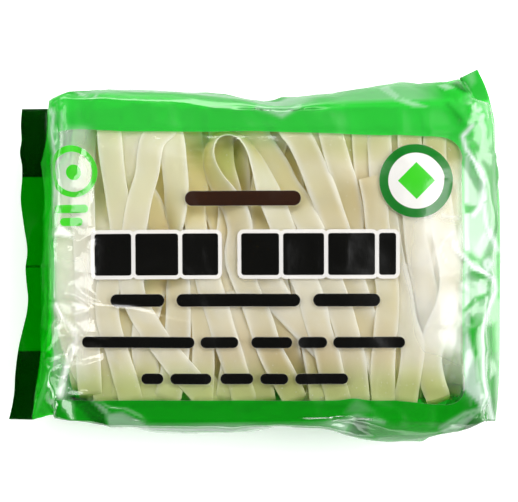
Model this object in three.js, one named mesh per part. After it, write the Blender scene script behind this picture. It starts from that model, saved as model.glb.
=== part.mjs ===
// A sealed clear bag of dried wide rice noodles, lying on its back.
// The bag is a gusseted film tube round a block of noodles. A crimped fin closes each
// end at half height, and the tube's two side panels tuck in between the fin's layers.
//
// Millimetres. +Z up, +X towards the end with the ear, +Y towards the long side that
// the printed front reads as its top. The origin is on the surface that the bag rests
// on, under the middle of its outline.

import * as THREE from "three";
import { ParametricGeometry } from "three/addons/geometries/ParametricGeometry.js";
import { mergeVertices } from "three/addons/utils/BufferGeometryUtils.js";

// ---- driving dimensions ----
const THICKNESS = 52; // block of noodles, back to front
const FACE_WIDTH = 125; // front panel, fold to fold, along Y
const FACE_MIDDLE_Y = -3.7; // middle of the front panel
const SIDE_BULGE = 8; // how far a long side stands out past the folds
const CREASE_LEFT_X = -74; // where the front panel turns down into the left end
const CREASE_RIGHT_X = 87; // and into the right end
const FIN_ROOT_LEFT_X = -86; // where the end meets its fin
const FIN_ROOT_RIGHT_X = 92.5;
const FIN_HEIGHT_Z = 25; // the fins' level above the surface
const FIN_THICKNESS = 1.2; // the crimped layers, with the air between them
const FIN_DEPTH_LEFT = 9.5; // fin, root to cut edge, along X
const FIN_DEPTH_RIGHT = 6.8;
const TUCK_DEPTH = 19; // how far a side panel folds in at an end
const EAR_RISE = 13.5; // the corner of the right fin that isn't tucked in
const EAR_TUCK = 7; // the shallower tuck beside that corner
const CORNER_DROP = 0.13; // the folds' share of the half thickness below the panels
const RELIEF = 0.7; // how far the noodles print through the front

// ---- sampling ----
const ALONG_FACE = 22; // steps across the front, and across the back
const ALONG_SIDE = 8; // steps across each side panel
const FIN_STEPS = 3;
const END_STEPS = 7;
const BODY_STEPS = 30;
const AROUND = 2 * (ALONG_FACE + ALONG_SIDE);
const STATIONS = 2 * (FIN_STEPS + END_STEPS) + BODY_STEPS;

const smooth = (a, b, x) => {
  const t = Math.min(1, Math.max(0, (x - a) / (b - a)));
  return t * t * (3 - 2 * t);
};
const mix = (a, b, t) => a + (b - a) * t;
const bump = (x, at, width) => Math.exp(-(((x - at) / width) ** 2));

// The two cut edges wave, and the left one flares towards the bottom corner.
const leftEdgeX = (y) =>
  FIN_ROOT_LEFT_X -
  FIN_DEPTH_LEFT +
  3.6 * bump(y, -8, 20) -
  3.4 * smooth(-30, -66, y) +
  0.5 * Math.sin(y / 4.1);
const rightEdgeX = (y) =>
  FIN_ROOT_RIGHT_X +
  FIN_DEPTH_RIGHT -
  1.7 * smooth(-40, -67, y) -
  9.2 * smooth(38, 72, y) +
  0.3 * Math.sin(y / 6.3);

// The fins' height waves too, more at the cut edge than at the root.
const finWave = (y, end, out) =>
  out *
  (end < 0
    ? 1.9 * Math.sin(y / 13.5 + 0.6) - 1.3 * smooth(10, 60, y)
    : 1.4 * Math.sin(y / 17 - 0.9) + 3.2 * smooth(40, 74, y));

// One cross-section of the bag at a station along its length.
// end is -1, 0 or +1. turn runs from 0 at the crease to 1 at the fin's root, and out
// runs from 0 at the root to 1 at the cut edge.
function stationAt(v) {
  const k = v * STATIONS;
  if (k <= FIN_STEPS) return { end: -1, turn: 1, out: 1 - k / FIN_STEPS };
  if (k < FIN_STEPS + END_STEPS)
    return { end: -1, turn: 1 - (k - FIN_STEPS) / END_STEPS, out: 0 };
  if (k <= FIN_STEPS + END_STEPS + BODY_STEPS) {
    const t = (k - FIN_STEPS - END_STEPS) / BODY_STEPS;
    return { end: 0, turn: 0, out: 0, x: mix(CREASE_LEFT_X, CREASE_RIGHT_X, t) };
  }
  const r = k - FIN_STEPS - END_STEPS - BODY_STEPS;
  return r <= END_STEPS
    ? { end: 1, turn: r / END_STEPS, out: 0 }
    : { end: 1, turn: 1, out: (r - END_STEPS) / FIN_STEPS };
}

function sectionPoint(u, v, target) {
  const s = stationAt(v);
  const angle = (s.turn * Math.PI) / 2;
  const open = Math.cos(angle); // 1 in the body, 0 at a fin
  const closed = Math.sin(angle);

  // half height of the section, and its closing edge at the very end of a fin
  const edge = s.out > 0.999 ? 0 : 1;
  const half = (THICKNESS / 2) * open + (FIN_THICKNESS / 2) * (1 - open) * edge;

  // the upper corner of the right end isn't tucked, so the fin stands past the fold
  const ear = s.end > 0 ? EAR_RISE * closed ** 3 : 0;
  const low = FACE_MIDDLE_Y - FACE_WIDTH / 2;
  const high = FACE_MIDDLE_Y + FACE_WIDTH / 2 + ear;
  const slack = 3.2 * Math.sin((s.x ?? 0) / 31) + 2.1 * Math.sin((s.x ?? 0) / 13 + 1.2);
  const bulgeLow = SIDE_BULGE * open + (s.end === 0 ? 0.45 * slack : 0);
  const bulgeHigh = (SIDE_BULGE - 1) * open - (s.end === 0 ? 0.35 * slack : 0);
  // the tuck is the void between the side panel's two halves, and is shut in the fin
  const tuck = s.out > 0 ? 0 : TUCK_DEPTH * closed ** 2;
  const tuckHigh = s.out > 0 ? 0 : (s.end > 0 ? EAR_TUCK : TUCK_DEPTH) * closed ** 2;

  // walk round the section: front towards +Y, side, back towards -Y, side
  const n = Math.round(u * AROUND) % AROUND;
  let y, q; // q is height over the middle, from -1 at the back to 1 at the front
  if (n < ALONG_FACE) {
    const t = n / ALONG_FACE;
    y = mix(low, high, t);
    q = 1 - CORNER_DROP * open * Math.abs(2 * t - 1) ** 5;
  } else if (n < ALONG_FACE + ALONG_SIDE) {
    const t = (n - ALONG_FACE) / ALONG_SIDE;
    const p = 1 - 2 * t;
    q = p * (1 - CORNER_DROP * open);
    y = high + bulgeHigh * (1 - p * p) - tuckHigh * (1 - Math.abs(p));
  } else if (n < 2 * ALONG_FACE + ALONG_SIDE) {
    const t = (n - ALONG_FACE - ALONG_SIDE) / ALONG_FACE;
    y = mix(high, low, t);
    q = -(1 - CORNER_DROP * open * Math.abs(2 * t - 1) ** 5);
  } else {
    const t = (n - 2 * ALONG_FACE - ALONG_SIDE) / ALONG_SIDE;
    const p = 2 * t - 1;
    q = p * (1 - CORNER_DROP * open);
    y = low - bulgeLow * (1 - p * p) + tuck * (1 - Math.abs(p));
  }

  // where the section stands along the bag
  let x = s.x;
  if (s.end < 0) {
    x = mix(CREASE_LEFT_X, FIN_ROOT_LEFT_X, closed) - 3.2 * closed * bump(y, -52, 16);
    x = mix(x, leftEdgeX(y), s.out);
  } else if (s.end > 0) {
    x = mix(CREASE_RIGHT_X, FIN_ROOT_RIGHT_X, closed) - 6 * closed * smooth(48, 74, y);
    x = mix(x, rightEdgeX(y), s.out);
  }

  // the back lies flat, and the front is printed through by the noodles under it
  const middle = mix(THICKNESS / 2, FIN_HEIGHT_Z, closed);
  let z = middle + q * half;
  if (q > 0 && s.end === 0 && n > 0 && n < ALONG_FACE)
    z +=
      RELIEF *
      (Math.sin(x / 5.4 + 0.02 * y) * Math.sin(y / 27 + x / 60) - 1) *
      (1 - Math.abs((2 * n) / ALONG_FACE - 1) ** 4);
  if (s.end !== 0) z += closed ** 4 * finWave(y, s.end, mix(0.35, 1, s.out));
  target.set(x, y, z);
}

// A closed solid from a function of two parameters, with its doubled seam points joined
// and the triangles that shrink to nothing at the two cut edges left out.
function closedSolid(fn, slices, stacks) {
  const raw = new ParametricGeometry(fn, slices, stacks);
  raw.deleteAttribute("normal");
  raw.deleteAttribute("uv");
  const g = mergeVertices(raw, 1e-3);
  const kept = [];
  const index = g.index.array;
  for (let i = 0; i < index.length; i += 3) {
    const [a, b, c] = [index[i], index[i + 1], index[i + 2]];
    if (a !== b && b !== c && c !== a) kept.push(a, b, c);
  }
  g.setIndex(kept);
  return g;
}

function centred(g) {
  g.computeBoundingBox();
  const { min, max } = g.boundingBox;
  g.translate(-(min.x + max.x) / 2, -(min.y + max.y) / 2, -min.z);
  return g;
}

function facingOut(g) {
  const p = g.attributes.position;
  const i = g.index.array;
  const a = new THREE.Vector3();
  const b = new THREE.Vector3();
  const c = new THREE.Vector3();
  let volume = 0;
  for (let k = 0; k < i.length; k += 3) {
    a.fromBufferAttribute(p, i[k]);
    b.fromBufferAttribute(p, i[k + 1]);
    c.fromBufferAttribute(p, i[k + 2]);
    volume += a.dot(b.cross(c)) / 6;
  }
  if (volume < 0) {
    const turned = [];
    for (let k = 0; k < i.length; k += 3) turned.push(i[k], i[k + 2], i[k + 1]);
    g.setIndex(turned);
  }
  g.computeVertexNormals();
  return g;
}

const bag = new THREE.Mesh(
  facingOut(centred(closedSolid(sectionPoint, AROUND, STATIONS))),
  new THREE.MeshStandardMaterial({
    color: new THREE.Color(0.12, 0.72, 0.16),
    roughness: 0.22,
    metalness: 0,
    transparent: true,
    opacity: 0.85,
  }),
);
bag.name = "noodle_bag";

const pack = new THREE.Group();
pack.add(bag);

export default pack;
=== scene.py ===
"""A sealed film bag of dried wide rice noodles, lying on its back.

The film is one thin tube, cut and folded as a gusseted flow-wrap bag is, and relaxed here
against the block of noodles by a small position-based solver: the film keeps its length
in every direction, so its folds and creases are those of the real sheet. The noodles are
flat strips laid one by one under the film, and each turns over at the long sides.
"""
import math

import bpy
import numpy as np
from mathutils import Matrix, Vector


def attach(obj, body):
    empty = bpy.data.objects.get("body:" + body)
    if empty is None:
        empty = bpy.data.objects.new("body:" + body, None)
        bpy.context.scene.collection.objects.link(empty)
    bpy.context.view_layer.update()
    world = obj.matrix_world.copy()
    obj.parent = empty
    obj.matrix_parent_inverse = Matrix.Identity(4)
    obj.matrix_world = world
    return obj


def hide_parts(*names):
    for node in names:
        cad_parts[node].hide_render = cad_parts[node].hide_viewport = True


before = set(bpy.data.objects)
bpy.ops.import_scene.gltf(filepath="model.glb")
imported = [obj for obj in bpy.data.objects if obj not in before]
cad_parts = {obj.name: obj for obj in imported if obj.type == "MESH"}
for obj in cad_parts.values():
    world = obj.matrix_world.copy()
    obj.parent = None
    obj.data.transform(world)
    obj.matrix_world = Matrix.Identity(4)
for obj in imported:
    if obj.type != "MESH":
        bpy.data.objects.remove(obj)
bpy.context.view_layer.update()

# =====================================================================================
# 1. The film tube. Millimetres, in the bag's own sketch frame; SHIFT moves that to the
#    CAD frame.
# =====================================================================================
SHIFT = np.array([-0.2545, 1.7401, 0.0])

W = 125.0          # front panel, fold to fold
S = 56.0           # side panel
H = 28.0           # half a side panel
P = 2 * (W + S)    # round the tube
YC = -3.7          # middle of the front panel
LOW, HIGH = YC - W / 2, YC + W / 2
T = 52.0           # block thickness
FL, FR = 10.0, 7.5 # fins
GL, GR = 28.6, 27.8
XL, XR = -74.0, 85.0
BODY = XR - XL
LEN = FL + GL + BODY + GR + FR
VL = FL + GL       # where the front turns into the left end
VR = VL + BODY
EAR = 15.5
GAP = 0.22         # between the layers of a fin
ZFIN = 25.0

def smooth(a, b, x):
    t = np.clip((x - a) / (b - a), 0, 1)
    return t * t * (3 - 2 * t)

def curve(x, xs, ys):
    """smooth interpolation through a few points (monotone-ish cubic on a fine grid)"""
    xs = np.asarray(xs, float); ys = np.asarray(ys, float)
    m = np.gradient(ys, xs)
    i = np.clip(np.searchsorted(xs, x) - 1, 0, len(xs) - 2)
    h = xs[i + 1] - xs[i]
    t = np.clip((x - xs[i]) / h, 0, 1)
    a = (1 + 2 * t) * (1 - t) ** 2
    b = t * (1 - t) ** 2
    c = t * t * (3 - 2 * t)
    d = t * t * (t - 1)
    return a * ys[i] + b * h * m[i] + c * ys[i + 1] + d * h * m[i + 1]

# fins: f runs along the fin from its low corner, in film millimetres
def left_fin(f, e):
    """f 0..125 along the fin, e 0 at the root, 1 at the cut edge"""
    y = LOW + f
    edge = curve(y, [-66.5, -64, -56, -48, -36, -28, -24, -18, -10, -5, 0, 13, 22, 32, 36, 41, 46, 52, 59.4],
                    [-99.2, -98.5, -96.9, -96.3, -94.5, -92.5, -91.5, -90.8, -91.5, -91.8, -91.2, -92.9, -94.1, -93.6, -93.7, -94.6, -94.0, -94.3, -93.9])
    root = curve(y, [-66.5, -55, -45, -30, 0, 40, 59.4], [-89.6, -88.2, -86.8, -85.4, -84.6, -84.0, -83.4])
    z0 = ZFIN + 0.6 * np.sin(y / 13.0)
    z1 = ZFIN + curve(y, [-66.5, -50, -30, -12, 5, 25, 45, 59.4], [-1.5, 0.5, 3.2, 4.2, 3.0, 0.5, -1.0, -2.2])
    ease = e * e * (3 - 2 * e) * 0.35 + e * 0.65
    return np.stack([root + (edge - root) * e, y + 0 * e, z0 + (z1 - z0) * ease], -1)

_RX = np.array([96.7, 97.8, 98.5, 98.9, 99.0, 99.0, 98.6, 97.4, 96.6, 96.2, 95.4, 92.8, 88.9])
_RY = np.array([-67.1, -58.2, -47.5, -36.6, -22.5, 6.0, 24.9, 35.8, 48.5, 54.9, 57.9, 66.4, 74.4])
_RS = np.concatenate([[0], np.cumsum(np.hypot(np.diff(_RX), np.diff(_RY)))])

def right_fin(f, e):
    """f 0..140.5 along the fin"""
    s = f * _RS[-1] / (W + EAR)
    ex, ey = curve(s, _RS, _RX), curve(s, _RS, _RY)
    # the direction from root to edge turns with the ear
    turn = np.radians(curve(s, [0, 12, 60, 100, 115, 126, _RS[-1]], [-3, 0, 0, 0, 6, 17, 26]))
    depth = curve(s, [0, 20, 100, 118, _RS[-1]], [5.6, 5.8, 6.0, 6.9, 7.4])
    rx, ry = ex - depth * np.cos(turn), ey - depth * np.sin(turn)
    z0 = ZFIN + curve(s, [0, 40, 80, 110, _RS[-1]], [0.5, -0.5, 0.8, 0.0, 2.2])
    z1 = ZFIN + curve(s, [0, 25, 50, 75, 100, 118, _RS[-1]], [-1.0, -3.6, -4.2, -2.6, -4.2, -1.5, 3.4])
    return np.stack([rx + (ex - rx) * e, ry + (ey - ry) * e, z0 + (z1 - z0) * e], -1)

def fin_layers(u, right):
    """for each film column: distance along the fin, and the layer's place, +1.5 front to -1.5 back"""
    top = EAR if right else 0.0
    f = np.empty_like(u); lay = np.empty_like(u)
    a = W + top; b = W + H; c = W + S - top
    m = u < a
    f[m] = u[m]; lay[m] = 1.5
    m = (u >= a) & (u < b); f[m] = a - (u[m] - a); lay[m] = 0.5
    m = (u >= b) & (u < c); f[m] = (W + top) - (c - u[m]); lay[m] = -0.5
    m = (u >= c) & (u < 2 * W + S); f[m] = (W + top) - (u[m] - c); lay[m] = -1.5
    m = (u >= 2 * W + S) & (u < 2 * W + S + H); f[m] = u[m] - (2 * W + S); lay[m] = -0.5
    m = u >= 2 * W + S + H; f[m] = P - u[m]; lay[m] = 0.5
    return f, lay

def fin_point(u, e, right):
    f, lay = fin_layers(u, right)
    base = (right_fin if right else left_fin)(f, e)
    tl = H
    tuck_hi = H - (EAR if right else 0.0)
    full = W + (EAR if right else 0.0)
    # the layers close up between the two tucks
    inside = smooth(tl, tl + 5, f) * smooth(tuck_hi, tuck_hi + 5, full - f)
    lay = lay * (1 - 0.62 * inside)
    base[..., 2] += lay * GAP
    return base

def body_section(u, x):
    """the open tube at x, before it is relaxed"""
    y = np.empty_like(u); z = np.empty_like(u)
    B = 7.0
    m = u <= W; y[m] = LOW + u[m]; z[m] = T
    m = (u > W) & (u <= W + S); q = 1 - 2 * (u[m] - W) / S; y[m] = HIGH + B * (1 - q * q); z[m] = T / 2 + q * T / 2
    m = (u > W + S) & (u <= 2 * W + S); y[m] = HIGH - (u[m] - W - S); z[m] = 0.3
    m = u > 2 * W + S; q = 2 * (u[m] - 2 * W - S) / S - 1; y[m] = LOW - B * (1 - q * q); z[m] = T / 2 + q * T / 2
    return np.stack([x + 0 * u, y, z], -1)

def tucked_end(u, t, right):
    """an end with full tucks: t 0 at the crease, 1 at the fin's root. Folds are straight lines."""
    xc = XR if right else XL
    crease = body_section(u, np.full_like(u, xc))
    root = fin_point(u, np.zeros_like(u), right)
    out = crease + (root - crease) * t[..., None]
    for lo_side in (True, False):
        if right and not lo_side:
            continue
        for upper in (True, False):
            if lo_side:
                w = (P - u) if upper else (u - (2 * W + S))
                m = (w >= 0) & (w <= H) & (u >= 2 * W + S)
                sgn = 1.0; y0 = LOW
            else:
                w = (u - W) if upper else (W + S - u)
                m = (w >= 0) & (w <= H) & (u >= W) & (u <= W + S)
                sgn = -1.0; y0 = HIGH
            ww = w[m]; tt = np.minimum(t[m], 0.999)
            zc = T if upper else 0.3
            def on_panel(d, tt=tt, zc=zc, upper=upper, sgn=sgn, y0=y0):
                y = y0 + sgn * d
                f = y - LOW
                r = (right_fin if right else left_fin)(f, np.zeros_like(f))
                c = np.stack([np.full_like(y, xc), y, np.full_like(y, zc)], -1)
                p = c + (r - c) * tt[:, None]
                p[:, 2] += (0.5 if upper else -0.5) * GAP * tt
                return p
            flap = on_panel(ww)
            D = on_panel(H * tt)
            mid0 = np.array([xc, y0 - sgn * 7.0, T / 2])
            midr = (right_fin if right else left_fin)(np.full(1, H if lo_side else W - H), np.zeros(1))[0]
            C = mid0 + (midr - mid0) * tt[:, None]
            fr = np.clip((ww - H * tt) / np.maximum(H - H * tt, 1e-6), 0, 1)[:, None]
            lean = D + (C - D) * fr
            res = np.where((ww <= H * tt)[:, None], flap, lean)
            out[m] = res
    return out

def initial(nu, nv):
    u = (np.arange(nu) * P / nu)
    v = np.linspace(0, LEN, nv)
    U = np.tile(u, (nv, 1)); V = np.tile(v[:, None], (1, nu))
    X = np.zeros((nv, nu, 3))
    for j in range(nv):
        vv = v[j]
        if vv <= FL:
            X[j] = fin_point(u, np.full_like(u, (FL - vv) / FL), False)
        elif vv < VL:
            t = np.full_like(u, (VL - vv) / GL)
            X[j] = tucked_end(u, t, False)
        elif vv <= VR:
            X[j] = body_section(u, np.full_like(u, XL + vv - VL))
        elif vv < LEN - FR:
            t = np.full_like(u, (vv - VR) / GR)
            X[j] = tucked_end(u, t, True)
        else:
            X[j] = fin_point(u, np.full_like(u, (vv - (LEN - FR)) / FR), True)
    return X, U, V


def refine(X, nu2, nv2):
    """bicubic-free, smooth upsampling on the periodic grid"""
    nv, nu = X.shape[:2]
    def cub(A, t, axis, periodic):
        n = A.shape[axis]
        i = np.floor(t).astype(int); f = t - i
        def g(k):
            k = k % n if periodic else np.clip(k, 0, n - 1)
            return np.take(A, k, axis)
        sh = [1] * A.ndim; sh[axis] = -1
        f = f.reshape(sh)
        p0, p1, p2, p3 = g(i - 1), g(i), g(i + 1), g(i + 2)
        return 0.5 * (2 * p1 + (p2 - p0) * f + (2 * p0 - 5 * p1 + 4 * p2 - p3) * f * f + (3 * p1 - p0 - 3 * p2 + p3) * f ** 3)
    A = cub(X, np.arange(nu2) * nu / nu2, 1, True)
    return cub(A, np.linspace(0, nv - 1, nv2), 0, False)


# outline of the long sides at mid height, X and Y in millimetres
TOPX = [-90, -79.2, -76, -72.4, -68.4, -62.3, -42.2, -26.1, -18.1, -12, -2.4, 5.3, 12.5, 27.4, 38.3, 48.3, 55.2, 58.4, 65.2, 72.5, 78.1, 84, 92]
TOPY = [61.5, 63.2, 65.0, 66.4, 66.6, 66.0, 65.2, 64.8, 64.4, 63.4, 61.8, 61.2, 62.4, 64.0, 65.6, 67.4, 69.0, 69.2, 68.1, 68.8, 69.3, 72.5, 76]
BOTX = [-95, -90.2, -85.3, -80, -76, -74, -69.2, -64.6, -61.9, -58.5, -49.2, -42.6, -33.4, -26.1, -16, -9.2, 1.1, 8.3, 22.6, 28.2, 32.5, 35.5, 38.3, 43.9, 58.4, 73.9, 79.7, 83.7, 88.9, 93.4, 98]
BOTY = [-67.5, -66.8, -66.4, -64.0, -63.0, -63.6, -65.7, -68, -68.7, -68.4, -68.8, -70, -71.0, -71.4, -71.2, -70.7, -69.2, -68, -68.2, -68.7, -70.3, -72.4, -73.5, -74, -74.4, -74.2, -73.2, -71.6, -68.8, -67.1, -67]

CXc, CA = 3.5, 80.0
CYc, CB = YC, 63.0
CZc, CC = 25.6, 24.9
NX, NY = 9.0, 5.5

DENTS = [(10.9, 60.0, 9.0, 5.0, 6.0), (38.7, -68.0, 8.0, 5.0, 5.0)]  # x, y, width, reach in y, depth

def relief(x, y):
    r = (0.35 * np.sin(x / 9.1 + 0.5 * np.sin(y / 23)) + 0.3 * np.sin(x / 5.2 + y / 31 + 1.0)
         + 0.45 * np.sin(y / 17 + x / 47)) - 0.5
    return r

def core_push(X, cap=1.5):
    x = (X[0] - CXc) / CA
    y = (X[1] - CYc) / CB
    zr = X[2] - CZc
    rel = relief(X[0], X[1])
    for (dx, dy, wx, wy, dep) in DENTS:
        rel = rel - dep * np.exp(-((X[0] - dx) / wx) ** 2 - ((X[1] - dy) / wy) ** 2)
    cc = CC + np.where(zr > 0, rel, 0.0)
    z = zr / cc
    ax, ay, az = np.abs(x), np.abs(y), np.abs(z)
    m = (ax < 1) & (ay < 1) & (az < 1)
    ax, ay, az = ax[m], ay[m], az[m]
    px, py, pz = ax ** (NX - 1), ay ** (NY - 1), az ** (NY - 1)
    s = px * ax + py * ay + pz * az
    k = s < 1
    if not k.any():
        return
    idx = np.flatnonzero(m)[k]
    s = np.maximum(s[k], 1e-6)
    gx = NX * px[k] * np.sign(x.ravel()[idx]) / CA
    gy = NY * py[k] * np.sign(y.ravel()[idx]) / CB
    gz = NY * pz[k] * np.sign(z.ravel()[idx]) / cc.ravel()[idx]
    n2 = gx * gx + gy * gy + gz * gz + 1e-9
    d = (1 - s) / n2
    ln = d * np.sqrt(n2)
    d *= np.minimum(1, cap / np.maximum(ln, 1e-6))
    for c, g in ((0, gx), (1, gy), (2, gz)):
        X[c].reshape(-1)[idx] += (d * g).astype(X.dtype)

class Wall:
    def __init__(self):
        self.xs = np.linspace(-100, 100, 401)
        self.top = curve(self.xs, TOPX, TOPY)
        self.bot = curve(self.xs, BOTX, BOTY)
    def apply(self, X):
        t = np.interp(X[0], self.xs, self.top)
        b = np.interp(X[0], self.xs, self.bot)
        q = np.minimum(np.abs(X[2] - 25.0) / 26.0, 1) ** 3
        ft, fb = np.minimum(HIGH + 0.6, t), np.maximum(LOW - 0.6, b)
        yt = t + (ft - t) * q
        yb = b + (fb - b) * q
        over = X[1] - yt
        X[1] -= np.where(over > 0, over * 0.5, 0).astype(X.dtype)
        under = yb - X[1]
        X[1] += np.where(under > 0, under * 0.5, 0).astype(X.dtype)

def lk(A, B, rest, k):
    dx = B[0] - A[0]; dy = B[1] - A[1]; dz = B[2] - A[2]
    ln = np.sqrt(dx * dx + dy * dy + dz * dz)
    ln += 1e-6
    c = rest / ln
    np.subtract(1.0, c, out=c)
    c *= 0.5 * k
    dx *= c; dy *= c; dz *= c
    A[0] += dx; A[1] += dy; A[2] += dz
    B[0] -= dx; B[1] -= dy; B[2] -= dz

def vnormals(X):
    du = np.roll(X, -1, 2) - np.roll(X, 1, 2)
    dv = np.empty_like(X)
    dv[:, 1:-1] = X[:, 2:] - X[:, :-2]; dv[:, 0] = X[:, 1] - X[:, 0]; dv[:, -1] = X[:, -1] - X[:, -2]
    n = np.cross(dv, du, axis=0)
    n /= np.sqrt((n * n).sum(0)) + 1e-9
    return n

def relax2(X, steps, iters, press, damp=0.9, kb=0.03, ks=0.5, grav=0.0, wall=None, kfold=0.5):
    """X (3, nv, nu)"""
    _, nv, nu = X.shape
    hu, hv = P / nu, LEN / (nv - 1)
    hd = float(np.hypot(hu, hv))
    v = np.linspace(0, LEN, nv)
    X = np.ascontiguousarray(X, dtype=np.float32)
    jl = int(np.searchsorted(v, FL + 1e-6)); jr = int(np.searchsorted(v, LEN - FR - 1e-6))
    fl, fr = X[:, :jl].copy(), X[:, jr:].copy()
    prev = X.copy()
    press = np.asarray(press, np.float32)
    def mirror(corner, w1):
        ws = np.arange(1, int(round(w1 / hu)) + 1)
        c = int(round(corner / P * nu))
        return (c - ws) % nu, (c + ws) % nu
    rl = (jl, int(np.searchsorted(v, VL + 2)))
    rr = (int(np.searchsorted(v, VR - 2)), jr)
    pairs = []
    for rows, left in ((rl, True), (rr, False)):
        a, b = mirror(P, H); pairs.append((rows, b, a))
        a, b = mirror(2 * W + S, H); pairs.append((rows, b, a))
        a, b = mirror(2 * W + S + H, H); pairs.append((rows, b, a))
        if left:
            a, b = mirror(W, H); pairs.append((rows, a, b))
            a, b = mirror(W + S, H); pairs.append((rows, a, b))
            a, b = mirror(W + H, H); pairs.append((rows, a, b))
        else:
            a, b = mirror(W + EAR, H - EAR); pairs.append((rows, a, b))
            a, b = mirror(W + S - EAR, H - EAR); pairs.append((rows, a, b))
            a, b = mirror(W + H, H - EAR); pairs.append((rows, a, b))
    body = slice(int(np.searchsorted(v, VL + 5)), int(np.searchsorted(v, VR - 5)))
    corners = [int(round(c / P * nu)) % nu for c in (0.0, W, W + S, 2 * W + S)]
    for s in range(steps):
        vel = (X - prev) * np.float32(damp)
        prev = X.copy()
        X = X + vel + vnormals(X) * press
        X[2] -= grav
        X[:, :jl] = fl; X[:, jr:] = fr
        for it in range(iters):
            lk(X[:, 0:-1:2], X[:, 1::2], hv, 1.0) if nv % 2 == 0 else lk(X[:, 0:-1:2], X[:, 1::2], hv, 1.0)
            lk(X[:, 1:nv - 1:2], X[:, 2:nv:2], hv, 1.0)
            lk(X[:, :, 0::2], X[:, :, 1::2], hu, 1.0)
            lk(X[:, :, 1:-1:2], X[:, :, 2::2], hu, 1.0)
            lk(X[:, :, -1], X[:, :, 0], hu, 1.0)
            for par in (0, 1):
                n = (nv - par) // 2
                A = X[:, par:par + 2 * n:2]; B = X[:, par + 1:par + 2 * n:2]
                lk(A[:, :, :-1], B[:, :, 1:], hd, ks)
                lk(A[:, :, -1], B[:, :, 0], hd, ks)
                lk(A[:, :, 1:], B[:, :, :-1], hd, ks)
                lk(A[:, :, 0], B[:, :, -1], hd, ks)
            if kb > 0:
                for q in (0, 1, 2, 3):
                    A = X[:, :, q:-2:4]; B = X[:, :, q + 2::4]
                    n = min(A.shape[2], B.shape[2])
                    lk(A[:, :, :n], B[:, :, :n], 2 * hu, kb)
                lk(X[:, :, -2], X[:, :, 0], 2 * hu, kb)
                lk(X[:, :, -1], X[:, :, 1], 2 * hu, kb)
                for q in (0, 1, 2, 3):
                    A = X[:, q:-2:4]; B = X[:, q + 2::4]
                    n = min(A.shape[1], B.shape[1])
                    lk(A[:, :n], B[:, :n], 2 * hv, kb)
            if kfold > 0:
                for c in corners:
                    lk(X[:, body, (c - 1) % nu], X[:, body, (c + 1) % nu], 1.42 * hu, kfold)
            for (r0, r1), up, dn in pairs:
                blk = X[2, r0:r1]
                a = blk[:, up]; b = blk[:, dn]
                c = np.clip(GAP - (a - b), 0, 1.0) * 0.5
                blk[:, up] = a + c; blk[:, dn] = b - c
            core_push(X)
            if wall is not None:
                wall.apply(X)
            np.maximum(X[2], 0.3, out=X[2])
            X[:, :jl] = fl; X[:, jr:] = fr
    return X

def set_fins(X, nv, nu):
    v = np.linspace(0, LEN, nv); u = np.arange(nu) * P / nu
    for j in range(nv):
        if v[j] <= FL + 1e-6: X[j] = fin_point(u, np.full_like(u, (FL - v[j]) / FL), False)
        if v[j] >= LEN - FR - 1e-6: X[j] = fin_point(u, np.full_like(u, (v[j] - (LEN - FR)) / FR), True)


def default_press(U, V):
    p = np.full(U.shape, 0.006)
    p[U < W] = 0.0
    p[(V < VL) | (V > VR)] = 0.004
    # dents at the long folds
    for x0, uc, amp in ((10.9, W + 1.5, 0.05), (38.7, P - 1.5, 0.04)):
        xx = XL + V - VL
        du = np.minimum(np.abs(U - uc), P - np.abs(U - uc))
        p -= amp * np.exp(-((xx - x0) / 6.5) ** 2 - (du / 6.0) ** 2)
    return p


def film_grid(levels):
    """The relaxed film: points (nv, nu, 3)."""
    sizes = [(92, 60), (184, 119), (368, 237)]
    steps = (160, 120, 60)
    X, _, _ = initial(*sizes[0])
    rng = np.random.default_rng(11)
    wall = Wall()
    for lv in range(levels):
        nu, nv = sizes[lv]
        if lv:
            X = refine(X, nu, nv)
        U = np.tile(np.arange(nu) * P / nu, (nv, 1))
        V = np.tile(np.linspace(0, LEN, nv)[:, None], (1, nu))
        set_fins(X, nv, nu)
        jl = int(np.searchsorted(V[:, 0], FL + 1e-6))
        jr = int(np.searchsorted(V[:, 0], LEN - FR - 1e-6))
        X[jl:jr] += rng.normal(0, 0.03 * P / nu, X[jl:jr].shape)
        pr = default_press(U, V) / (1 + lv)
        Y = relax2(np.moveaxis(X, -1, 0), steps[lv], 12, pr, kb=0.03, grav=0.004 / (1 + lv), wall=wall)
        X = np.moveaxis(Y, 0, -1).astype(float)
    return X

def set_fins(X, nv, nu):
    v = np.linspace(0, LEN, nv)
    u = np.arange(nu) * P / nu
    for j in range(nv):
        if v[j] <= FL + 1e-6:
            X[j] = fin_point(u, np.full_like(u, (FL - v[j]) / FL), False)
        if v[j] >= LEN - FR - 1e-6:
            X[j] = fin_point(u, np.full_like(u, (v[j] - (LEN - FR)) / FR), True)


# =====================================================================================
# 2. The noodles
# =====================================================================================
PX = 2.571
def mmx(px): return (px - 254.9) / PX
def mmy(py): return (255.0 - py) / PX

# grid for the spaces over and under the noodles, 0.5 mm
G0X, G1X, G0Y, G1Y, GS = -84.0, 92.0, -74.0, 68.0, 0.5
NGX, NGY = int((G1X - G0X) / GS) + 1, int((G1Y - G0Y) / GS) + 1

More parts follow.
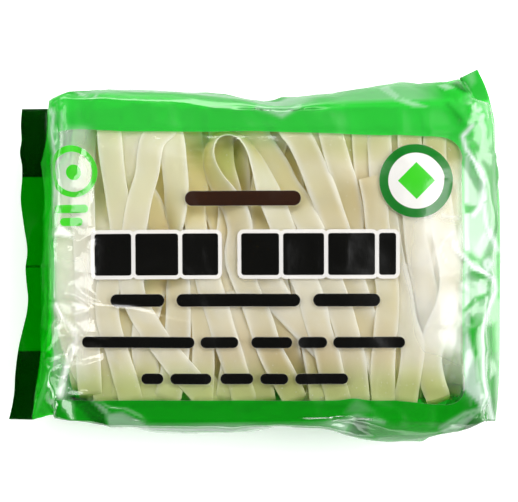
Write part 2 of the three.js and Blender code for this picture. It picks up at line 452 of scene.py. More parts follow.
def film_map(X, N, upper):
    """height of the film's inside over each grid cell: lowest above, or highest below. Also
    gives the cells that are under the film at all."""
    gx, gy = int((G1X - G0X)) + 1, int((G1Y - G0Y)) + 1
    D = np.full((gx, gy), np.inf)
    x, y, z = X[..., 0].ravel(), X[..., 1].ravel(), X[..., 2].ravel()
    m = z > 26.2 if upper else z < 25.8
    s = 1.0 if upper else -1.0
    i = np.round(x[m] - G0X).astype(int); j = np.round(y[m] - G0Y).astype(int)
    k = (i >= 0) & (i < gx) & (j >= 0) & (j < gy)
    np.minimum.at(D, (i[k], j[k]), s * z[m][k])
    # spread to the neighbours, so that no cell is higher than the film beside it
    def spread(D, how=np.minimum):
        E = D.copy()
        for a in (-1, 0, 1):
            for b in (-1, 0, 1):
                R = np.full_like(D, np.inf)
                xs = slice(max(0, a), gx + min(0, a)); xd = slice(max(0, -a), gx + min(0, -a))
                ys = slice(max(0, b), gy + min(0, b)); yd = slice(max(0, -b), gy + min(0, -b))
                R[xd, yd] = D[xs, ys]
                E = how(E, R)
        return E
    D = spread(D)
    inside = np.isfinite(D)
    for _ in range(12):
        E = spread(D)
        D = np.where(np.isinf(D), E, D)
    D[np.isinf(D)] = s * 26
    D = s * D
    # to half millimetres
    xi = np.arange(NGX) * GS; yi = np.arange(NGY) * GS
    i0 = np.clip(np.floor(xi).astype(int), 0, gx - 2); fx = (xi - i0)[:, None]
    j0 = np.clip(np.floor(yi).astype(int), 0, gy - 2); fy = (yi - j0)[None, :]
    def fine(D):
        a = D[np.ix_(i0, j0)]; b = D[np.ix_(i0 + 1, j0)]; c = D[np.ix_(i0, j0 + 1)]; d = D[np.ix_(i0 + 1, j0 + 1)]
        return (a * (1 - fx) + b * fx) * (1 - fy) + (c * (1 - fx) + d * fx) * fy
    return fine(D), fine(inside.astype(float)) > 0.99

def look(D, x, y):
    i = np.clip(np.round((x - G0X) / GS).astype(int), 0, NGX - 1)
    j = np.clip(np.round((y - G0Y) / GS).astype(int), 0, NGY - 1)
    return D[i, j]

def stamp(D, x, y, z, s):
    i = np.round((x - G0X) / GS).astype(int); j = np.round((y - G0Y) / GS).astype(int)
    k = (i >= 0) & (i < NGX) & (j >= 0) & (j < NGY)
    i, j, z = i[k], j[k], z[k]
    if s > 0:
        np.minimum.at(D, (i, j), z)
    else:
        np.maximum.at(D, (i, j), z)

def spline(P, step):
    """a smooth curve through the points, at even steps"""
    P = np.asarray(P, float)
    d = np.concatenate([[0], np.cumsum(np.sqrt(((P[1:] - P[:-1]) ** 2).sum(1)))])
    t = np.linspace(0, d[-1], 400)
    Q = np.stack([curve(t, d, P[:, k]) for k in range(P.shape[1])], -1)
    e = np.concatenate([[0], np.cumsum(np.sqrt(((Q[1:, :2] - Q[:-1, :2]) ** 2).sum(1)))])
    n = max(4, int(round(e[-1] / step)) + 1)
    s = np.linspace(0, e[-1], n)
    return np.stack([np.interp(s, e, Q[:, k]) for k in range(P.shape[1])], -1), s

def envelope(z, s, k):
    """the highest curve under z that bends no more than a stiff strip"""
    return (z[None, :] + k * (s[:, None] - s[None, :]) ** 2).min(1)

def blur(a, n):
    if n <= 0:
        return a
    k = np.exp(-np.linspace(-2, 2, 2 * n + 1) ** 2); k /= k.sum()
    return np.convolve(np.pad(a, n, mode='edge'), k, 'valid')

class Pile:
    def __init__(self, top, bottom, inside):
        self.top, self.bot = top, bottom
        self.room = (top.copy(), bottom.copy(), inside)
        self.strips = []      # (centre points, side vectors, normals, half widths, half thickness, seed)

    def lay(self, pts, width=10.0, roll=None, side=1, thick=0.9, gap=0.15, step=2.6, stiff=0.02, dip=0.0, over=None, press=None, keep=True, arcs=None, rng=None):
        """Lays a strip along pts (x, y in mm) against what is over it (side 1) or under it (side -1)."""
        D = self.top if side > 0 else self.bot
        Q, s = spline(pts, step)
        c = Q[:, :2]
        t = np.gradient(c, axis=0); t /= np.sqrt((t * t).sum(1))[:, None] + 1e-9
        n = np.stack([-t[:, 1], t[:, 0]], -1)
        hw = (Q[:, 2] / 2) if Q.shape[1] > 2 else np.full(len(s), width / 2)
        if roll is None:
            # lean with what it rests on
            o = 4.0
            zl = look(D, c[:, 0] - n[:, 0] * o, c[:, 1] - n[:, 1] * o)
            zr = look(D, c[:, 0] + n[:, 0] * o, c[:, 1] + n[:, 1] * o)
            rl = np.clip((zr - zl) / (2 * o), -0.3, 0.3)
            rl = blur(np.arctan(rl), 5)
        else:
            rl = np.interp(np.linspace(0, 1, len(s)), np.linspace(0, 1, len(roll)), roll) if np.ndim(roll) == 1 else np.full(len(s), roll)
            rl = blur(rl, 2)
        cr, sr = np.cos(rl), np.sin(rl)
        best = None
        for o in np.linspace(-1, 1, 7):
            oo = o * hw
            x = c[:, 0] + n[:, 0] * oo * cr; y = c[:, 1] + n[:, 1] * oo * cr
            lim = look(D, x, y) - oo * sr
            lim = side * lim - (thick / 2 + gap)
            best = lim if best is None else np.minimum(best, lim)
        z = envelope(best, s, stiff)
        for _ in range(2):
            z = np.minimum(z, blur(z, 2))
        z = side * (z - dip)
        centre = np.stack([c[:, 0], c[:, 1], z], -1)
        T = np.gradient(centre, axis=0); T /= np.sqrt((T * T).sum(1))[:, None]
        sd = np.stack([n[:, 0] * cr, n[:, 1] * cr, sr], -1)
        nm = np.cross(T, sd); nm /= np.sqrt((nm * nm).sum(1))[:, None]
        # stamp it
        for o in np.arange(-1, 1.001, 0.07):
            oo = o * hw * 0.98
            for f in (0.0, 0.34, 0.67):
                k = np.arange(len(s) - 1)
                cc = centre[k] * (1 - f) + centre[k + 1] * f
                ss = sd[k] * (1 - f) + sd[k + 1] * f
                h = oo[k]
                p = cc + ss * h[:, None]
                stamp(D, p[:, 0], p[:, 1], p[:, 2] - side * (thick / 2), side)
        strip = dict(c=centre, sd=sd, nm=nm, hw=hw, th=np.full(len(s), thick / 2))
        if arcs:
            strip = self.turn(strip, side, arcs, step, rng)
        self.strips.append(strip)
        return strip

    def fit(self, p, margin):
        """moves points that are outside the bag towards the middle of the block until they fit"""
        top, bot, inside = self.room
        p = p.copy()
        lo, hi = np.array([-66.0, -50.0, 12.0]), np.array([77.0, 43.0, 38.0])
        for _ in range(70):
            i = np.clip(np.round((p[:, 0] - G0X) / GS).astype(int), 0, NGX - 1)
            j = np.clip(np.round((p[:, 1] - G0Y) / GS).astype(int), 0, NGY - 1)
            out = (~inside[i, j]) | (p[:, 2] > top[i, j] - margin) | (p[:, 2] < bot[i, j] + margin)
            if not out.any():
                break
            q = p[out]
            d = np.clip(q, lo, hi) - q
            l = np.sqrt((d * d).sum(1))[:, None] + 1e-9
            p[out] = q + d / l * np.minimum(l, 0.4)
        return p

    def settle(self):
        """keeps every strip inside the film, as a whole first"""
        for st in self.strips:
            for turn in range(3):
                c, sd, hw, th = st['c'], st['sd'], st['hw'], st['th']
                push = np.zeros_like(c)
                for o in (-1.0, 0.0, 1.0):
                    q = c + sd * (o * hw)[:, None]
                    m = self.fit(q, 0.7) - q
                    bigger = (m * m).sum(1) > (push * push).sum(1)
                    push[bigger] = m[bigger]
                if np.abs(push).max() < 0.05:
                    break
                # spread the move along the strip, and never less than is needed
                soft = np.stack([blur(push[:, k], 3) for k in range(3)], -1)
                big = (push * push).sum(1) > (soft * soft).sum(1)
                st['c'] = c + np.where(big[:, None], push, soft)
            c = st['c']
            T = np.gradient(c, axis=0); T /= np.sqrt((T * T).sum(1))[:, None] + 1e-9
            sd = st['sd'] - T * (st['sd'] * T).sum(1)[:, None]
            sd /= np.sqrt((sd * sd).sum(1))[:, None] + 1e-9
            st['sd'], st['nm'] = sd, np.cross(T, sd)

    def turn(self, st, side, arcs, step, rng):
        """adds the turn and the run back at one or both ends. arcs: {end: (reach, radius, back length)}"""
        c, sd, nm, hw, th = st['c'], st['sd'], st['nm'], st['hw'], st['th']
        for end, (reach, rad, back) in arcs.items():
            if end == 1:
                p, d = c[-1], c[-1] - c[-3]
                s0, h0, t0 = sd[-1], hw[-1], th[-1]
            else:
                p, d = c[0], c[0] - c[2]
                s0, h0, t0 = sd[0], hw[0], th[0]
            d = d / np.sqrt((d * d).sum())
            d[2] *= 0.3; d /= np.sqrt((d * d).sum())
            room = p[2] - look(self.room[1], p[0], p[1]) if side > 0 else look(self.room[0], p[0], p[1]) - p[2]
            rad = min(rad, max(1.2, (room - 3.0) / 2))
            if side < 0:
                rad = min(rad, max(1.2, (29.0 - p[2]) / 2))
            up = np.array([0, 0, 1.0]) - d * d[2]; up /= np.sqrt((up * up).sum())
            side0 = np.cross(up, d) if end == 1 else np.cross(d, up)
            if (side0 * s0).sum() < 0:
                side0 = -side0
            nn = max(6, int(round(0.5 * np.pi * (reach + rad) / step)))
            th_ = np.linspace(0, np.pi, nn + 1)[1:]
            arc = p + d * (reach * np.sin(th_))[:, None] - side * up * (rad * (1 - np.cos(th_)))[:, None]
            yaw = rng.uniform(-0.12, 0.12) if rng is not None else 0.0
            dd = -d.copy(); dd[2] *= 0.2
            dd = np.array([dd[0] * np.cos(yaw) - dd[1] * np.sin(yaw), dd[0] * np.sin(yaw) + dd[1] * np.cos(yaw), dd[2]])
            nb = max(2, int(round(back / step)))
            q = np.arange(1, nb + 1) * step
            wob = (rng.uniform(-1, 1) * np.sin(q / 17) * 1.5) if rng is not None else 0
            run = arc[-1] + dd * q[:, None] + np.array([0, 0, 1.0]) * np.reshape(wob, (-1, 1))
            P_ = np.concatenate([arc, run])
            k = len(P_)
            # sides settle from the strip's own lean to level
            w = np.clip(np.arange(1, k + 1) / 8.0, 0, 1)[:, None]
            S_ = s0 * (1 - w) + side0 * w
            S_ /= np.sqrt((S_ * S_).sum(1))[:, None]
            if end == 1:
                c = np.concatenate([c, P_]); sd = np.concatenate([sd, S_])
                hw = np.concatenate([hw, np.full(k, h0)]); th = np.concatenate([th, np.full(k, t0)])
            else:
                c = np.concatenate([P_[::-1], c]); sd = np.concatenate([S_[::-1], sd])
                hw = np.concatenate([np.full(k, h0), hw]); th = np.concatenate([np.full(k, t0), th])
        T = np.gradient(c, axis=0); T /= np.sqrt((T * T).sum(1))[:, None] + 1e-9
        sd = sd - T * (sd * T).sum(1)[:, None]; sd /= np.sqrt((sd * sd).sum(1))[:, None] + 1e-9
        nm = np.cross(T, sd)
        return dict(c=c, sd=sd, nm=nm, hw=hw, th=th)

def build(X, N, seed=5):
    top, in1 = film_map(X, N, True)
    bot, in2 = film_map(X, N, False)
    pile = Pile(top - 0.35, np.maximum(bot + 0.35, 0.75), in1 & in2)
    rng = np.random.default_rng(seed)
    YT, YB = 49.0, -56.5
    def hero(pts, width=26, roll=None, ends='both', **kw):
        P = np.array([(mmx(a), mmy(b)) for a, b in pts])
        o = np.argsort(-P[:, 1]) if kw.pop('sort', True) else np.arange(len(P))
        P = P[o]
        arcs = {}
        # index 0 is the high-Y end
        if ends in ('both', 'top'):
            arcs[0] = (rng.uniform(8, 10.5), rng.uniform(7, 19), rng.uniform(18, 60))
        if ends in ('both', 'bottom'):
            arcs[1] = (rng.uniform(3.5, 6.0), rng.uniform(7, 19), rng.uniform(18, 60))
        return pile.lay(P, width=width / PX, roll=roll, arcs=arcs, rng=rng, thick=rng.uniform(0.75, 0.95), **kw)
    # ---- the strips that show, topmost first
    hero([(163, 128), (157, 133), (146, 177), (139, 201), (134, 229), (130, 262), (133, 295), (152, 332), (175, 363), (198, 390)], 25)
    hero([(370, 177), (375, 199), (378, 229), (384, 262), (388, 292), (386, 330), (383, 372), (384, 398)], 24, ends='bottom')
    hero([(168, 128), (170, 133), (174, 164), (176, 190), (175, 212), (175, 232), (177, 262), (178, 300), (177, 340), (172, 378), (168, 395)], 26,
         roll=[0, 0, 0.1, 0.5, 1.15, 0.9, 0.3, 0, 0, 0, 0])
    hero([(196, 240), (203, 262), (209, 285), (218, 314), (224, 335), (232, 359), (240, 385), (243, 396)], 25, ends='bottom')
    # the loop, its two legs
    loop = [(338, 398), (333, 380), (327, 353), (318, 325), (312, 300), (303, 278), (292, 255), (283, 229), (268, 190), (258, 163), (249, 145), (239, 134.5), (227, 131), (216, 135),
            (209, 147), (209, 162), (215, 178), (226, 195), (236, 212), (240, 229), (237, 256), (246, 286), (258, 315), (271, 353), (284, 378), (293, 396)]
    rolls = [0, 0, 0, 0, 0, 0, 0, 0, 0.05, 0.3, 0.75, 1.15, 1.35, 1.3, 1.1, 0.8, 0.5, 0.25, 0.1, 0, 0, 0, 0, 0, 0, 0]
    P = np.array([(mmx(a), mmy(b)) for a, b in loop])
    pile.lay(P, width=10.0, roll=np.array(rolls), arcs={0: (5, 12, 40), 1: (5, 15, 40)}, rng=rng, thick=0.85, step=2.0)
    hero([(108, 128), (108.5, 133), (112.5, 170), (118, 205), (121, 232), (117, 258), (108, 285), (107, 318), (116, 350), (125, 380), (129, 396)], 24)
    hero([(81.5, 126), (81, 133), (81, 160), (81, 190), (83, 230), (85, 270), (86, 320), (87, 350), (88, 372), (89, 391)], 25)
    hero([(250, 128), (256, 135), (266, 150), (278, 167), (288, 187), (299, 203), (306, 219), (311, 229), (320, 255), (333, 290), (345, 325), (353, 360), (357, 396)], 26)
    hero([(292, 128), (297, 134), (307, 153), (316, 174), (329, 207), (337, 229), (347, 262), (355, 290), (364, 320), (374, 345), (382, 372), (384, 396)], 27)
    hero([(381, 128), (380, 136), (381, 157), (383, 190), (388, 229), (394, 262), (400, 290), (406, 322), (413, 345), (411, 372), (407, 396)], 24)
    hero([(189, 128), (190, 133), (194, 160), (197, 185), (194, 207), (196, 229), (200, 262), (200, 300), (203, 345), (202, 396)], 22)
    hero([(437, 128), (436, 140), (440, 200), (446, 240), (452, 275), (448, 305), (437, 332), (430, 358), (434, 385), (438, 396)], 25)
    hero([(459, 135), (458, 150), (460, 200), (457, 250), (452, 300), (453, 340), (457, 371), (455, 396)], 24)
    hero([(238, 290), (243, 318), (251, 345), (259, 372), (263, 396)], 24, ends='bottom')
    hero([(410, 130), (411, 160), (414, 200), (416, 240), (424, 280), (434, 318), (444, 345), (447, 372), (446, 396)], 24)
    hero([(262, 262), (276, 296), (300, 322), (322, 345), (345, 372), (356, 396)], 28, ends='bottom')
    hero([(131, 129), (124, 150), (134, 180), (150, 205), (158, 232), (160, 262), (150, 300), (143, 340), (147, 375), (150, 396)], 25)
    hero([(330, 129), (338, 160), (347, 190), (352, 225), (345, 262), (338, 300), (344, 340), (350, 396)], 25)
    hero([(80, 150), (76, 172), (70, 195), (66, 225), (65, 260), (65, 300), (67, 335), (76, 362), (86, 380)], 22)
    hero([(220, 129), (222, 160), (230, 200), (226, 240), (214, 262), (228, 300), (236, 340), (228, 396)], 25)
    # strips that lie close under the gaps between those
    more = np.random.default_rng(77)
    for pts, w in (([(256, 128), (266, 160), (280, 190), (293, 220), (300, 260), (312, 330), (322, 396)], 26), ([(98, 128), (98, 180), (101, 240), (98, 300), (100, 350), (104, 396)], 25), ([(162, 128), (161, 170), (158, 210), (163, 260), (166, 320), (160, 396)], 24),
                   ([(69, 140), (68, 170), (76, 240), (78, 300), (80, 350), (78, 384)], 22), ([(312, 128), (318, 170), (322, 220), (322, 280), (326, 340), (318, 396)], 25),
                   ([(364, 130), (366, 180), (368, 240), (372, 300), (398, 350), (392, 396)], 24), ([(346, 130), (352, 160), (361, 200), (368, 226)], 24), ([(280, 128), (262, 190), (268, 250), (282, 310), (288, 350), (306, 396)], 25),
                   ([(424, 130), (428, 190), (434, 250), (436, 300), (455, 350), (450, 390)], 24), ([(206, 129), (204, 180), (222, 240), (190, 300), (186, 350), (214, 396)], 24),
                   ([(130, 128), (120, 190), (122, 250), (125, 310), (130, 350), (122, 396)], 23),
                   ([(394, 129), (403, 180), (412, 230), (422, 280)], 25), ([(449, 312), (451, 345), (450, 375), (446, 402)], 25)):
        P = np.array([(mmx(a), mmy(c_)) for a, c_ in pts])
        pile.lay(P, width=w / PX, roll=None, arcs={0: (8.5, more.uniform(5, 12), 35), 1: (4.5, more.uniform(5, 12), 35)}, rng=more, thick=0.85, step=3.0)
    nh = len(pile.strips)
    # ---- layers under them
    def layer(count, side, dip, rng, slant=9.0, wide=(9.2, 10.8)):
        xs = np.linspace(-76, 80, count) + rng.uniform(-3, 3, count)
        for x in rng.permutation(xs):
            a = rng.uniform(-slant, slant); b = rng.uniform(-5, 5); ph = rng.uniform(0, 6.28)
            ys = np.linspace(YT - 1.5 * rng.random(), YB + rng.uniform(1.0, 13.0), 7)
            px = x + a * (ys / 55) + b * np.sin(ys / 24 + ph)
            px = np.clip(px, -77, 80.5)
            arcs = {0: (rng.uniform(7, 10), rng.uniform(3, 13), rng.uniform(8, 40)), 1: (rng.uniform(3.5, 6.5), rng.uniform(3, 13), rng.uniform(8, 40))}
            pile.lay(np.stack([px, ys], -1), width=rng.uniform(*wide), side=side, dip=dip * rng.random(), arcs=arcs, rng=rng, thick=0.85, step=3.2)
    layer(15, 1, 0.8, rng, 14)
    layer(15, 1, 2.5, rng, 12)
    layer(14, 1, 3.5, rng, 10)
    layer(15, -1, 0.3, rng, 8)
    layer(14, -1, 2.5, rng, 8)
    layer(12, -1, 4.0, rng, 8)
    pile.settle()
    return pile

RING = np.array([(-1.0, 0.0), (-0.95, 0.55), (-0.55, 0.92), (0.0, 1.0), (0.55, 0.92), (0.95, 0.55), (1.0, 0.0), (0.95, -0.55), (0.0, -1.0), (-0.95, -0.55)])
NR = len(RING)

# painted shade, where strips look browner: x, y and the two radii in the picture's pixels, and how much
SHADED = [(292, 366, 60, 34, 1.0), (236, 352, 36, 30, 0.7), (232, 205, 18, 50, 0.5), (352, 186, 32, 44, 0.7), (190, 330, 40, 26, 0.35),
          (350, 146, 60, 22, 0.9), (430, 144, 54, 24, 0.95), (425, 386, 44, 18, 0.6), (385, 350, 26, 30, 0.4)]
# places where the painted shade is lessened and the strips painted lighter, same columns
SHADE_LIFTED = [(268, 176, 22, 52, 0.9), (98, 180, 10, 60, 0.8), (92, 300, 8, 60, 0.5), (120, 178, 60, 60, 0.6), (74, 240, 14, 90, 0.85), (74, 150, 14, 40, 0.85)]
# places where the strips are painted green for light through the print, same columns
GREEN_LIT = [(228, 158, 20, 30, 0.9), (350, 140, 60, 22, 1.0), (432, 142, 54, 26, 1.0), (440, 396, 40, 24, 1.0), (200, 150, 14, 26, 0.6)]

class Under:
    """what lies under each point of the pile"""
    def __init__(self, pile):
        cells, zs = [], []
        for st in pile.strips:
            c, sd, hw = st['c'], st['sd'], st['hw']
            for f in np.arange(0, 1, 0.25):
                cc = c[:-1] * (1 - f) + c[1:] * f; ss = sd[:-1] * (1 - f) + sd[1:] * f; hh = hw[:-1]
                for o in np.linspace(-0.97, 0.97, 13):
                    p = cc + ss * (o * hh)[:, None]
                    cells.append(self.cell(p[:, 0], p[:, 1])); zs.append(p[:, 2])
        self.keys = np.sort(np.concatenate(cells) * 1000.0 + np.concatenate(zs))
    def cell(self, x, y):
        return np.round((x + 100) / 0.8) * 400 + np.round((y + 90) / 0.8)
    def gap(self, x, y, z):
        k = self.cell(x, y) * 1000.0
        i = np.searchsorted(self.keys, k + z - 1.3) - 1
        below = self.keys[np.clip(i, 0, None)] - k
        return np.where((i >= 0) & (below > 0), z - below, 50.0)

def mesh(pile, seed=9):
    rng = np.random.default_rng(seed)
    under = Under(pile)
    V, Fq, Ft, A, B, C = [], [], [], [], [], []
    base = 0
    for si, st in enumerate(pile.strips):
        c, sd, nm, hw, th = st['c'], st['sd'], st['nm'], st['hw'], st['th']
        n = len(c)
        ph = rng.uniform(0, 6.28, 4)
        d = np.concatenate([[0], np.cumsum(np.sqrt(((c[1:] - c[:-1]) ** 2).sum(1)))])
        hw = hw * (1 + 0.03 * np.sin(d / 9 + ph[0]) + 0.02 * np.sin(d / 3.7 + ph[1]))
        cup = 0.12 * np.sin(d / 19 + ph[2]) + rng.uniform(-0.12, 0.12)      # cupped across, as dried
        r = []
        for a, b in RING:
            r.append(c + sd * (a * hw)[:, None] + nm * (b * th + cup * (a * a - 0.5))[:, None])
        r = np.stack(r, 1)                                                # n, NR, 3
        r = pile.fit(r.reshape(-1, 3), 0.12).reshape(n, NR, 3)
        V.append(r.reshape(-1, 3))
        u = np.tile(RING[:, 0], n) * np.repeat(hw, NR)
        A.append(np.stack([np.full(n * NR, si + 0.5), np.repeat(d, NR), u], -1))
        q = r.reshape(-1, 3)
        deep = look(pile.room[0], q[:, 0], q[:, 1]) - q[:, 2]
        # painted light: a strip that lies close on another is whiter
        backing_light = 1 - smooth(0.9, 4.6, under.gap(q[:, 0], q[:, 1], q[:, 2]))
        # painted shade: less light gets in under some parts of the print, so the strips are painted browner there
        shade_tan = np.zeros(len(q))
        for tx, ty, rx, ry, k_ in SHADED:
            shade_tan = np.maximum(shade_tan, k_ * np.exp(-((q[:, 0] - mmx(tx)) * PX / rx) ** 2 - ((q[:, 1] - mmy(ty)) * PX / ry) ** 2))
        share = ((si * 7919 + 31) % 97) / 96.0
        low = smooth(0.8, 3.0, deep)
        shade_tan = shade_tan * np.maximum(0.5 + 0.5 * share, low)
        # painted light: less painted shade in these places
        for tx, ty, rx, ry, k_ in SHADE_LIFTED:
            m = k_ * np.exp(-((q[:, 0] - mmx(tx)) * PX / rx) ** 2 - ((q[:, 1] - mmy(ty)) * PX / ry) ** 2)
            shade_tan = shade_tan * (1 - m); deep = deep * (1 - 0.8 * m); backing_light = np.maximum(backing_light, m)
        # painted light: strips near the long sides are painted green for light through the print
        green = np.maximum(0.5 * smooth(36.0, 50.0, q[:, 1]), smooth(-38.0, -53.5, q[:, 1]))
        green = np.maximum(green, 0.22 * smooth(4.0, 26.0, q[:, 1]) * (1 - 0.6 * smooth(0.0, 50.0, q[:, 0])))
        for tx, ty, rx, ry, k_ in GREEN_LIT:
            g = k_ * np.exp(-((q[:, 0] - mmx(tx)) * PX / rx) ** 2 - ((q[:, 1] - mmy(ty)) * PX / ry) ** 2)
            green = np.maximum(green, g * np.maximum(0.62 + 0.3 * share, low))
        # painted light for the material: depth and painted shade, painted green light, whiteness of strips that lie on
        # others
        B.append(np.stack([deep + 1.2 * shade_tan, green, backing_light * (1 - shade_tan)], -1))
        C.append(np.stack([shade_tan, share + 0 * shade_tan, low], -1))
        i, k = np.meshgrid(np.arange(n - 1), np.arange(NR), indexing='ij')
        k2 = (k + 1) % NR
        q = np.stack([i * NR + k, (i + 1) * NR + k, (i + 1) * NR + k2, i * NR + k2], -1).reshape(-1, 4) + base
        Fq.append(q)
        # closed ends
        for o, flip in ((base, True), (base + (n - 1) * NR, False)):
            t = np.array([[0, k, k + 1] for k in range(1, NR - 1)]) + o
            Ft.append(t[:, ::-1] if flip else t)
        base += n * NR
    return np.concatenate(V), np.concatenate(Fq), np.concatenate(Ft), np.concatenate(A), np.concatenate(B), np.concatenate(C)


# =====================================================================================
# 3. Meshes
# =====================================================================================
def new_mesh(name, verts, quads, tris=None, uv=None, attrs=None, smooth=True):
    """verts in millimetres, in the sketch frame"""
    me = bpy.data.meshes.new(name)
    co = ((np.asarray(verts) + SHIFT) / 1000.0).astype(np.float32)
    faces = [np.asarray(quads).reshape(-1, 4)]
    loops = faces[0].ravel()
    totals = np.full(len(faces[0]), 4)
    if tris is not None and len(tris):
        loops = np.concatenate([loops, np.asarray(tris).ravel()])
        totals = np.concatenate([totals, np.full(len(tris), 3)])
    me.vertices.add(len(co)); me.vertices.foreach_set("co", co.ravel())
    me.loops.add(len(loops)); me.loops.foreach_set("vertex_index", loops.astype(np.int32))
    me.polygons.add(len(totals))
    me.polygons.foreach_set("loop_start", np.concatenate([[0], np.cumsum(totals)[:-1]]).astype(np.int32))
    me.polygons.foreach_set("loop_total", totals.astype(np.int32))
    me.update(calc_edges=True)
    me.polygons.foreach_set("use_smooth", np.full(len(totals), smooth))
    if uv is not None:
        layer = me.uv_layers.new(name="OFBake")
        layer.data.foreach_set("uv", np.asarray(uv, np.float32).ravel())
    for key, val in (attrs or {}).items():
        a = me.attributes.new(key, 'FLOAT_VECTOR', 'POINT')
        a.data.foreach_set("vector", np.asarray(val, np.float32).ravel())
    me.validate()
    ob = bpy.data.objects.new(name, me)
    bpy.context.scene.collection.objects.link(ob)
    return ob

levels = 3
GRID = film_grid(levels)

def value_noise(u, v, cell, seed):
    """smooth noise from 0 to 1, periodic round the tube"""
    n = max(3, int(round(P / cell)))
    m = int(LEN / cell) + 3
    L = np.random.default_rng(seed).random((m, n))
    x = u / P * n; y = v / cell
    i = np.floor(x).astype(int); j = np.floor(y).astype(int)
    fx, fy = x - i, y - j
    fx = fx ** 3 * (fx * (6 * fx - 15) + 10); fy = fy ** 3 * (fy * (6 * fy - 15) + 10)
    a, b_, c, d = L[j, i % n], L[j, (i + 1) % n], L[j + 1, i % n], L[j + 1, (i + 1) % n]
    return (a * (1 - fx) + b_ * fx) * (1 - fy) + (c * (1 - fx) + d * fx) * fy

def flat_folds(X, reach=13.0, top=48.4):
    """a sharp crease along each long edge of the front, level with the panel"""
    nv, nu = X.shape[:2]
    h = P / nu
    n = int(round(reach / h))
    v = np.linspace(0, LEN, nv)
    w = smooth(VL - 4, VL + 8, v) * (1 - smooth(VR - 8, VR + 4, v))
    Y = X.copy()
    for c, sgn in ((0.0, 1), (W, -1)):
        c = int(round(c / h)) % nu
        zf = X[:, c, 2]
        drop = np.maximum(zf - np.minimum(top, X[:, (c + sgn * n) % nu, 2] - 0.2), 0) * w
        za = X[:, (c + sgn * n) % nu, 2]
        for k in range(n):
            t = k / n
            i = (c + sgn * k) % nu
            line = (zf - drop) * (1 - t) + za * t
            m = w * (1 - smooth(0.7, 1.0, t))
            Y[:, i, 2] = X[:, i, 2] * (1 - m) + line * m
            if k:
                i = (c - sgn * k) % nu
                Y[:, i, 2] = X[:, i, 2] - drop * (1 - smooth(0, 1, t))
    return Y

def crumple(X):
    """the creases of handling: ridges between soft hollows, most at the ends"""
    nv, nu = X.shape[:2]
    u = np.tile(np.arange(nu) * P / nu, (nv, 1)); v = np.tile(np.linspace(0, LEN, nv)[:, None], (1, nu))
    wu = u + 5.0 * (value_noise(u, v, 31.0, 1) - 0.5); wv = v + 5.0 * (value_noise(u, v, 29.0, 2) - 0.5)
    wv = np.clip(wv, 0, LEN)
    def ridged(cell, seed):
        r = 1 - np.abs(2 * value_noise(np.mod(wu, P), wv, cell, seed) - 1)
        return r ** 1.5
    big, small, fine = ridged(23.0, 3), ridged(11.0, 4), value_noise(u, v, 8.0, 5)
    front = smooth(-6, 4, u) * (1 - smooth(W - 4, W + 6, u)) + smooth(P - 6, P + 4, u)
    side = smooth(W, W + 10, u) * (1 - smooth(W + S - 10, W + S, u)) + smooth(P - S, P - S + 10, u) * (1 - smooth(P - 8, P, u))
    right = smooth(VR - 22, VR - 4, v) * (1 - smooth(LEN - FR - 7, LEN - FR - 1, v))
    left = (1 - smooth(VL - 2, VL + 10, v)) * smooth(FL + 1, FL + 8, v)
    glare = smooth(VR - 80, VR - 30, v)
    body = smooth(VL, VL + 12, v) * (1 - smooth(VR - 12, VR, v))
    ear = smooth(VR - 4, VR + 4, v) * smooth(W - 22, W - 8, u)
    A = front * (0.25 + 1.0 * right * (1 - 0.6 * ear) + 0.9 * left + 0.6 * glare) * smooth(FL, FL + 6, v) * (1 - smooth(LEN - FR - 6, LEN - FR, v))
    B = side * body * 0.8
    D = (A + B) * (0.7 * (big - 0.45) + 0.35 * (small - 0.45) + 0.2 * (fine - 0.5)) * 1.6
    D = D + crease_height(X)
    N = np.moveaxis(vnormals(np.moveaxis(X, -1, 0)), 0, -1)
    if N[nv // 2, int(nu * 0.17), 2] < 0:
        N = -N
    Y = X + N * D[..., None]
    Y[..., 2] = np.maximum(Y[..., 2], 0.3)
    return Y

def taut(X, v0=197.0, v1=224.5, u0=127.0, u1=166.0):
    """the film between the side and the ear is stretched smooth"""
    nv, nu = X.shape[:2]
    j0, j1 = int(round(v0 / LEN * (nv - 1))), int(round(v1 / LEN * (nv - 1)))
    i0, i1 = int(round(u0 / P * nu)), int(round(u1 / P * nu))
    Y = X.copy()
    for _ in range(500):
        B = Y[j0 - 1:j1 + 2, i0 - 1:i1 + 2]
        B[1:-1, 1:-1] = 0.25 * (B[:-2, 1:-1] + B[2:, 1:-1] + B[1:-1, :-2] + B[1:-1, 2:])
    u, v = np.arange(nu) * P / nu, np.linspace(0, LEN, nv)
    out = smooth(190, 199, v) * (1 - smooth(203, 209, v))
    Y[..., 1] += 2.0 * out[:, None] * (smooth(127, 138, u) * (1 - smooth(166, 178, u)))[None, :]
    return Y

def pull(X):
    """the noodles stand out into three corners of the front, and the upper fold bows out"""
    Y = X.copy()
    x = X[..., 0] * PX + 254.9
    u = np.arange(X.shape[1]) * P / X.shape[1]
    near = smooth(W - 9, W - 1, u) * (1 - smooth(W + 1, W + 12, u))
    bow = smooth(80, 112, x) * (1 - smooth(160, 228, x)) * smooth(30.0, 40.0, X[..., 2])
    Y[..., 1] += 2.5 * bow * near[None, :]
    for px, py, dx, dy, r in ((76, 116, -4.4, 3.4, 8.0), (73, 396, -4.4, -1.2, 8.5), (474, 404, 1.5, -0.8, 7.0)):
        cx, cy = (px - 254.9) / PX, (255.0 - py) / PX
        w = np.exp(-((X[..., 0] - cx) ** 2 + (X[..., 1] - cy) ** 2) / (2 * r * r)) * smooth(28.0, 42.0, X[..., 2])
        Y[..., 0] += dx * w; Y[..., 1] += dy * w
    return Y

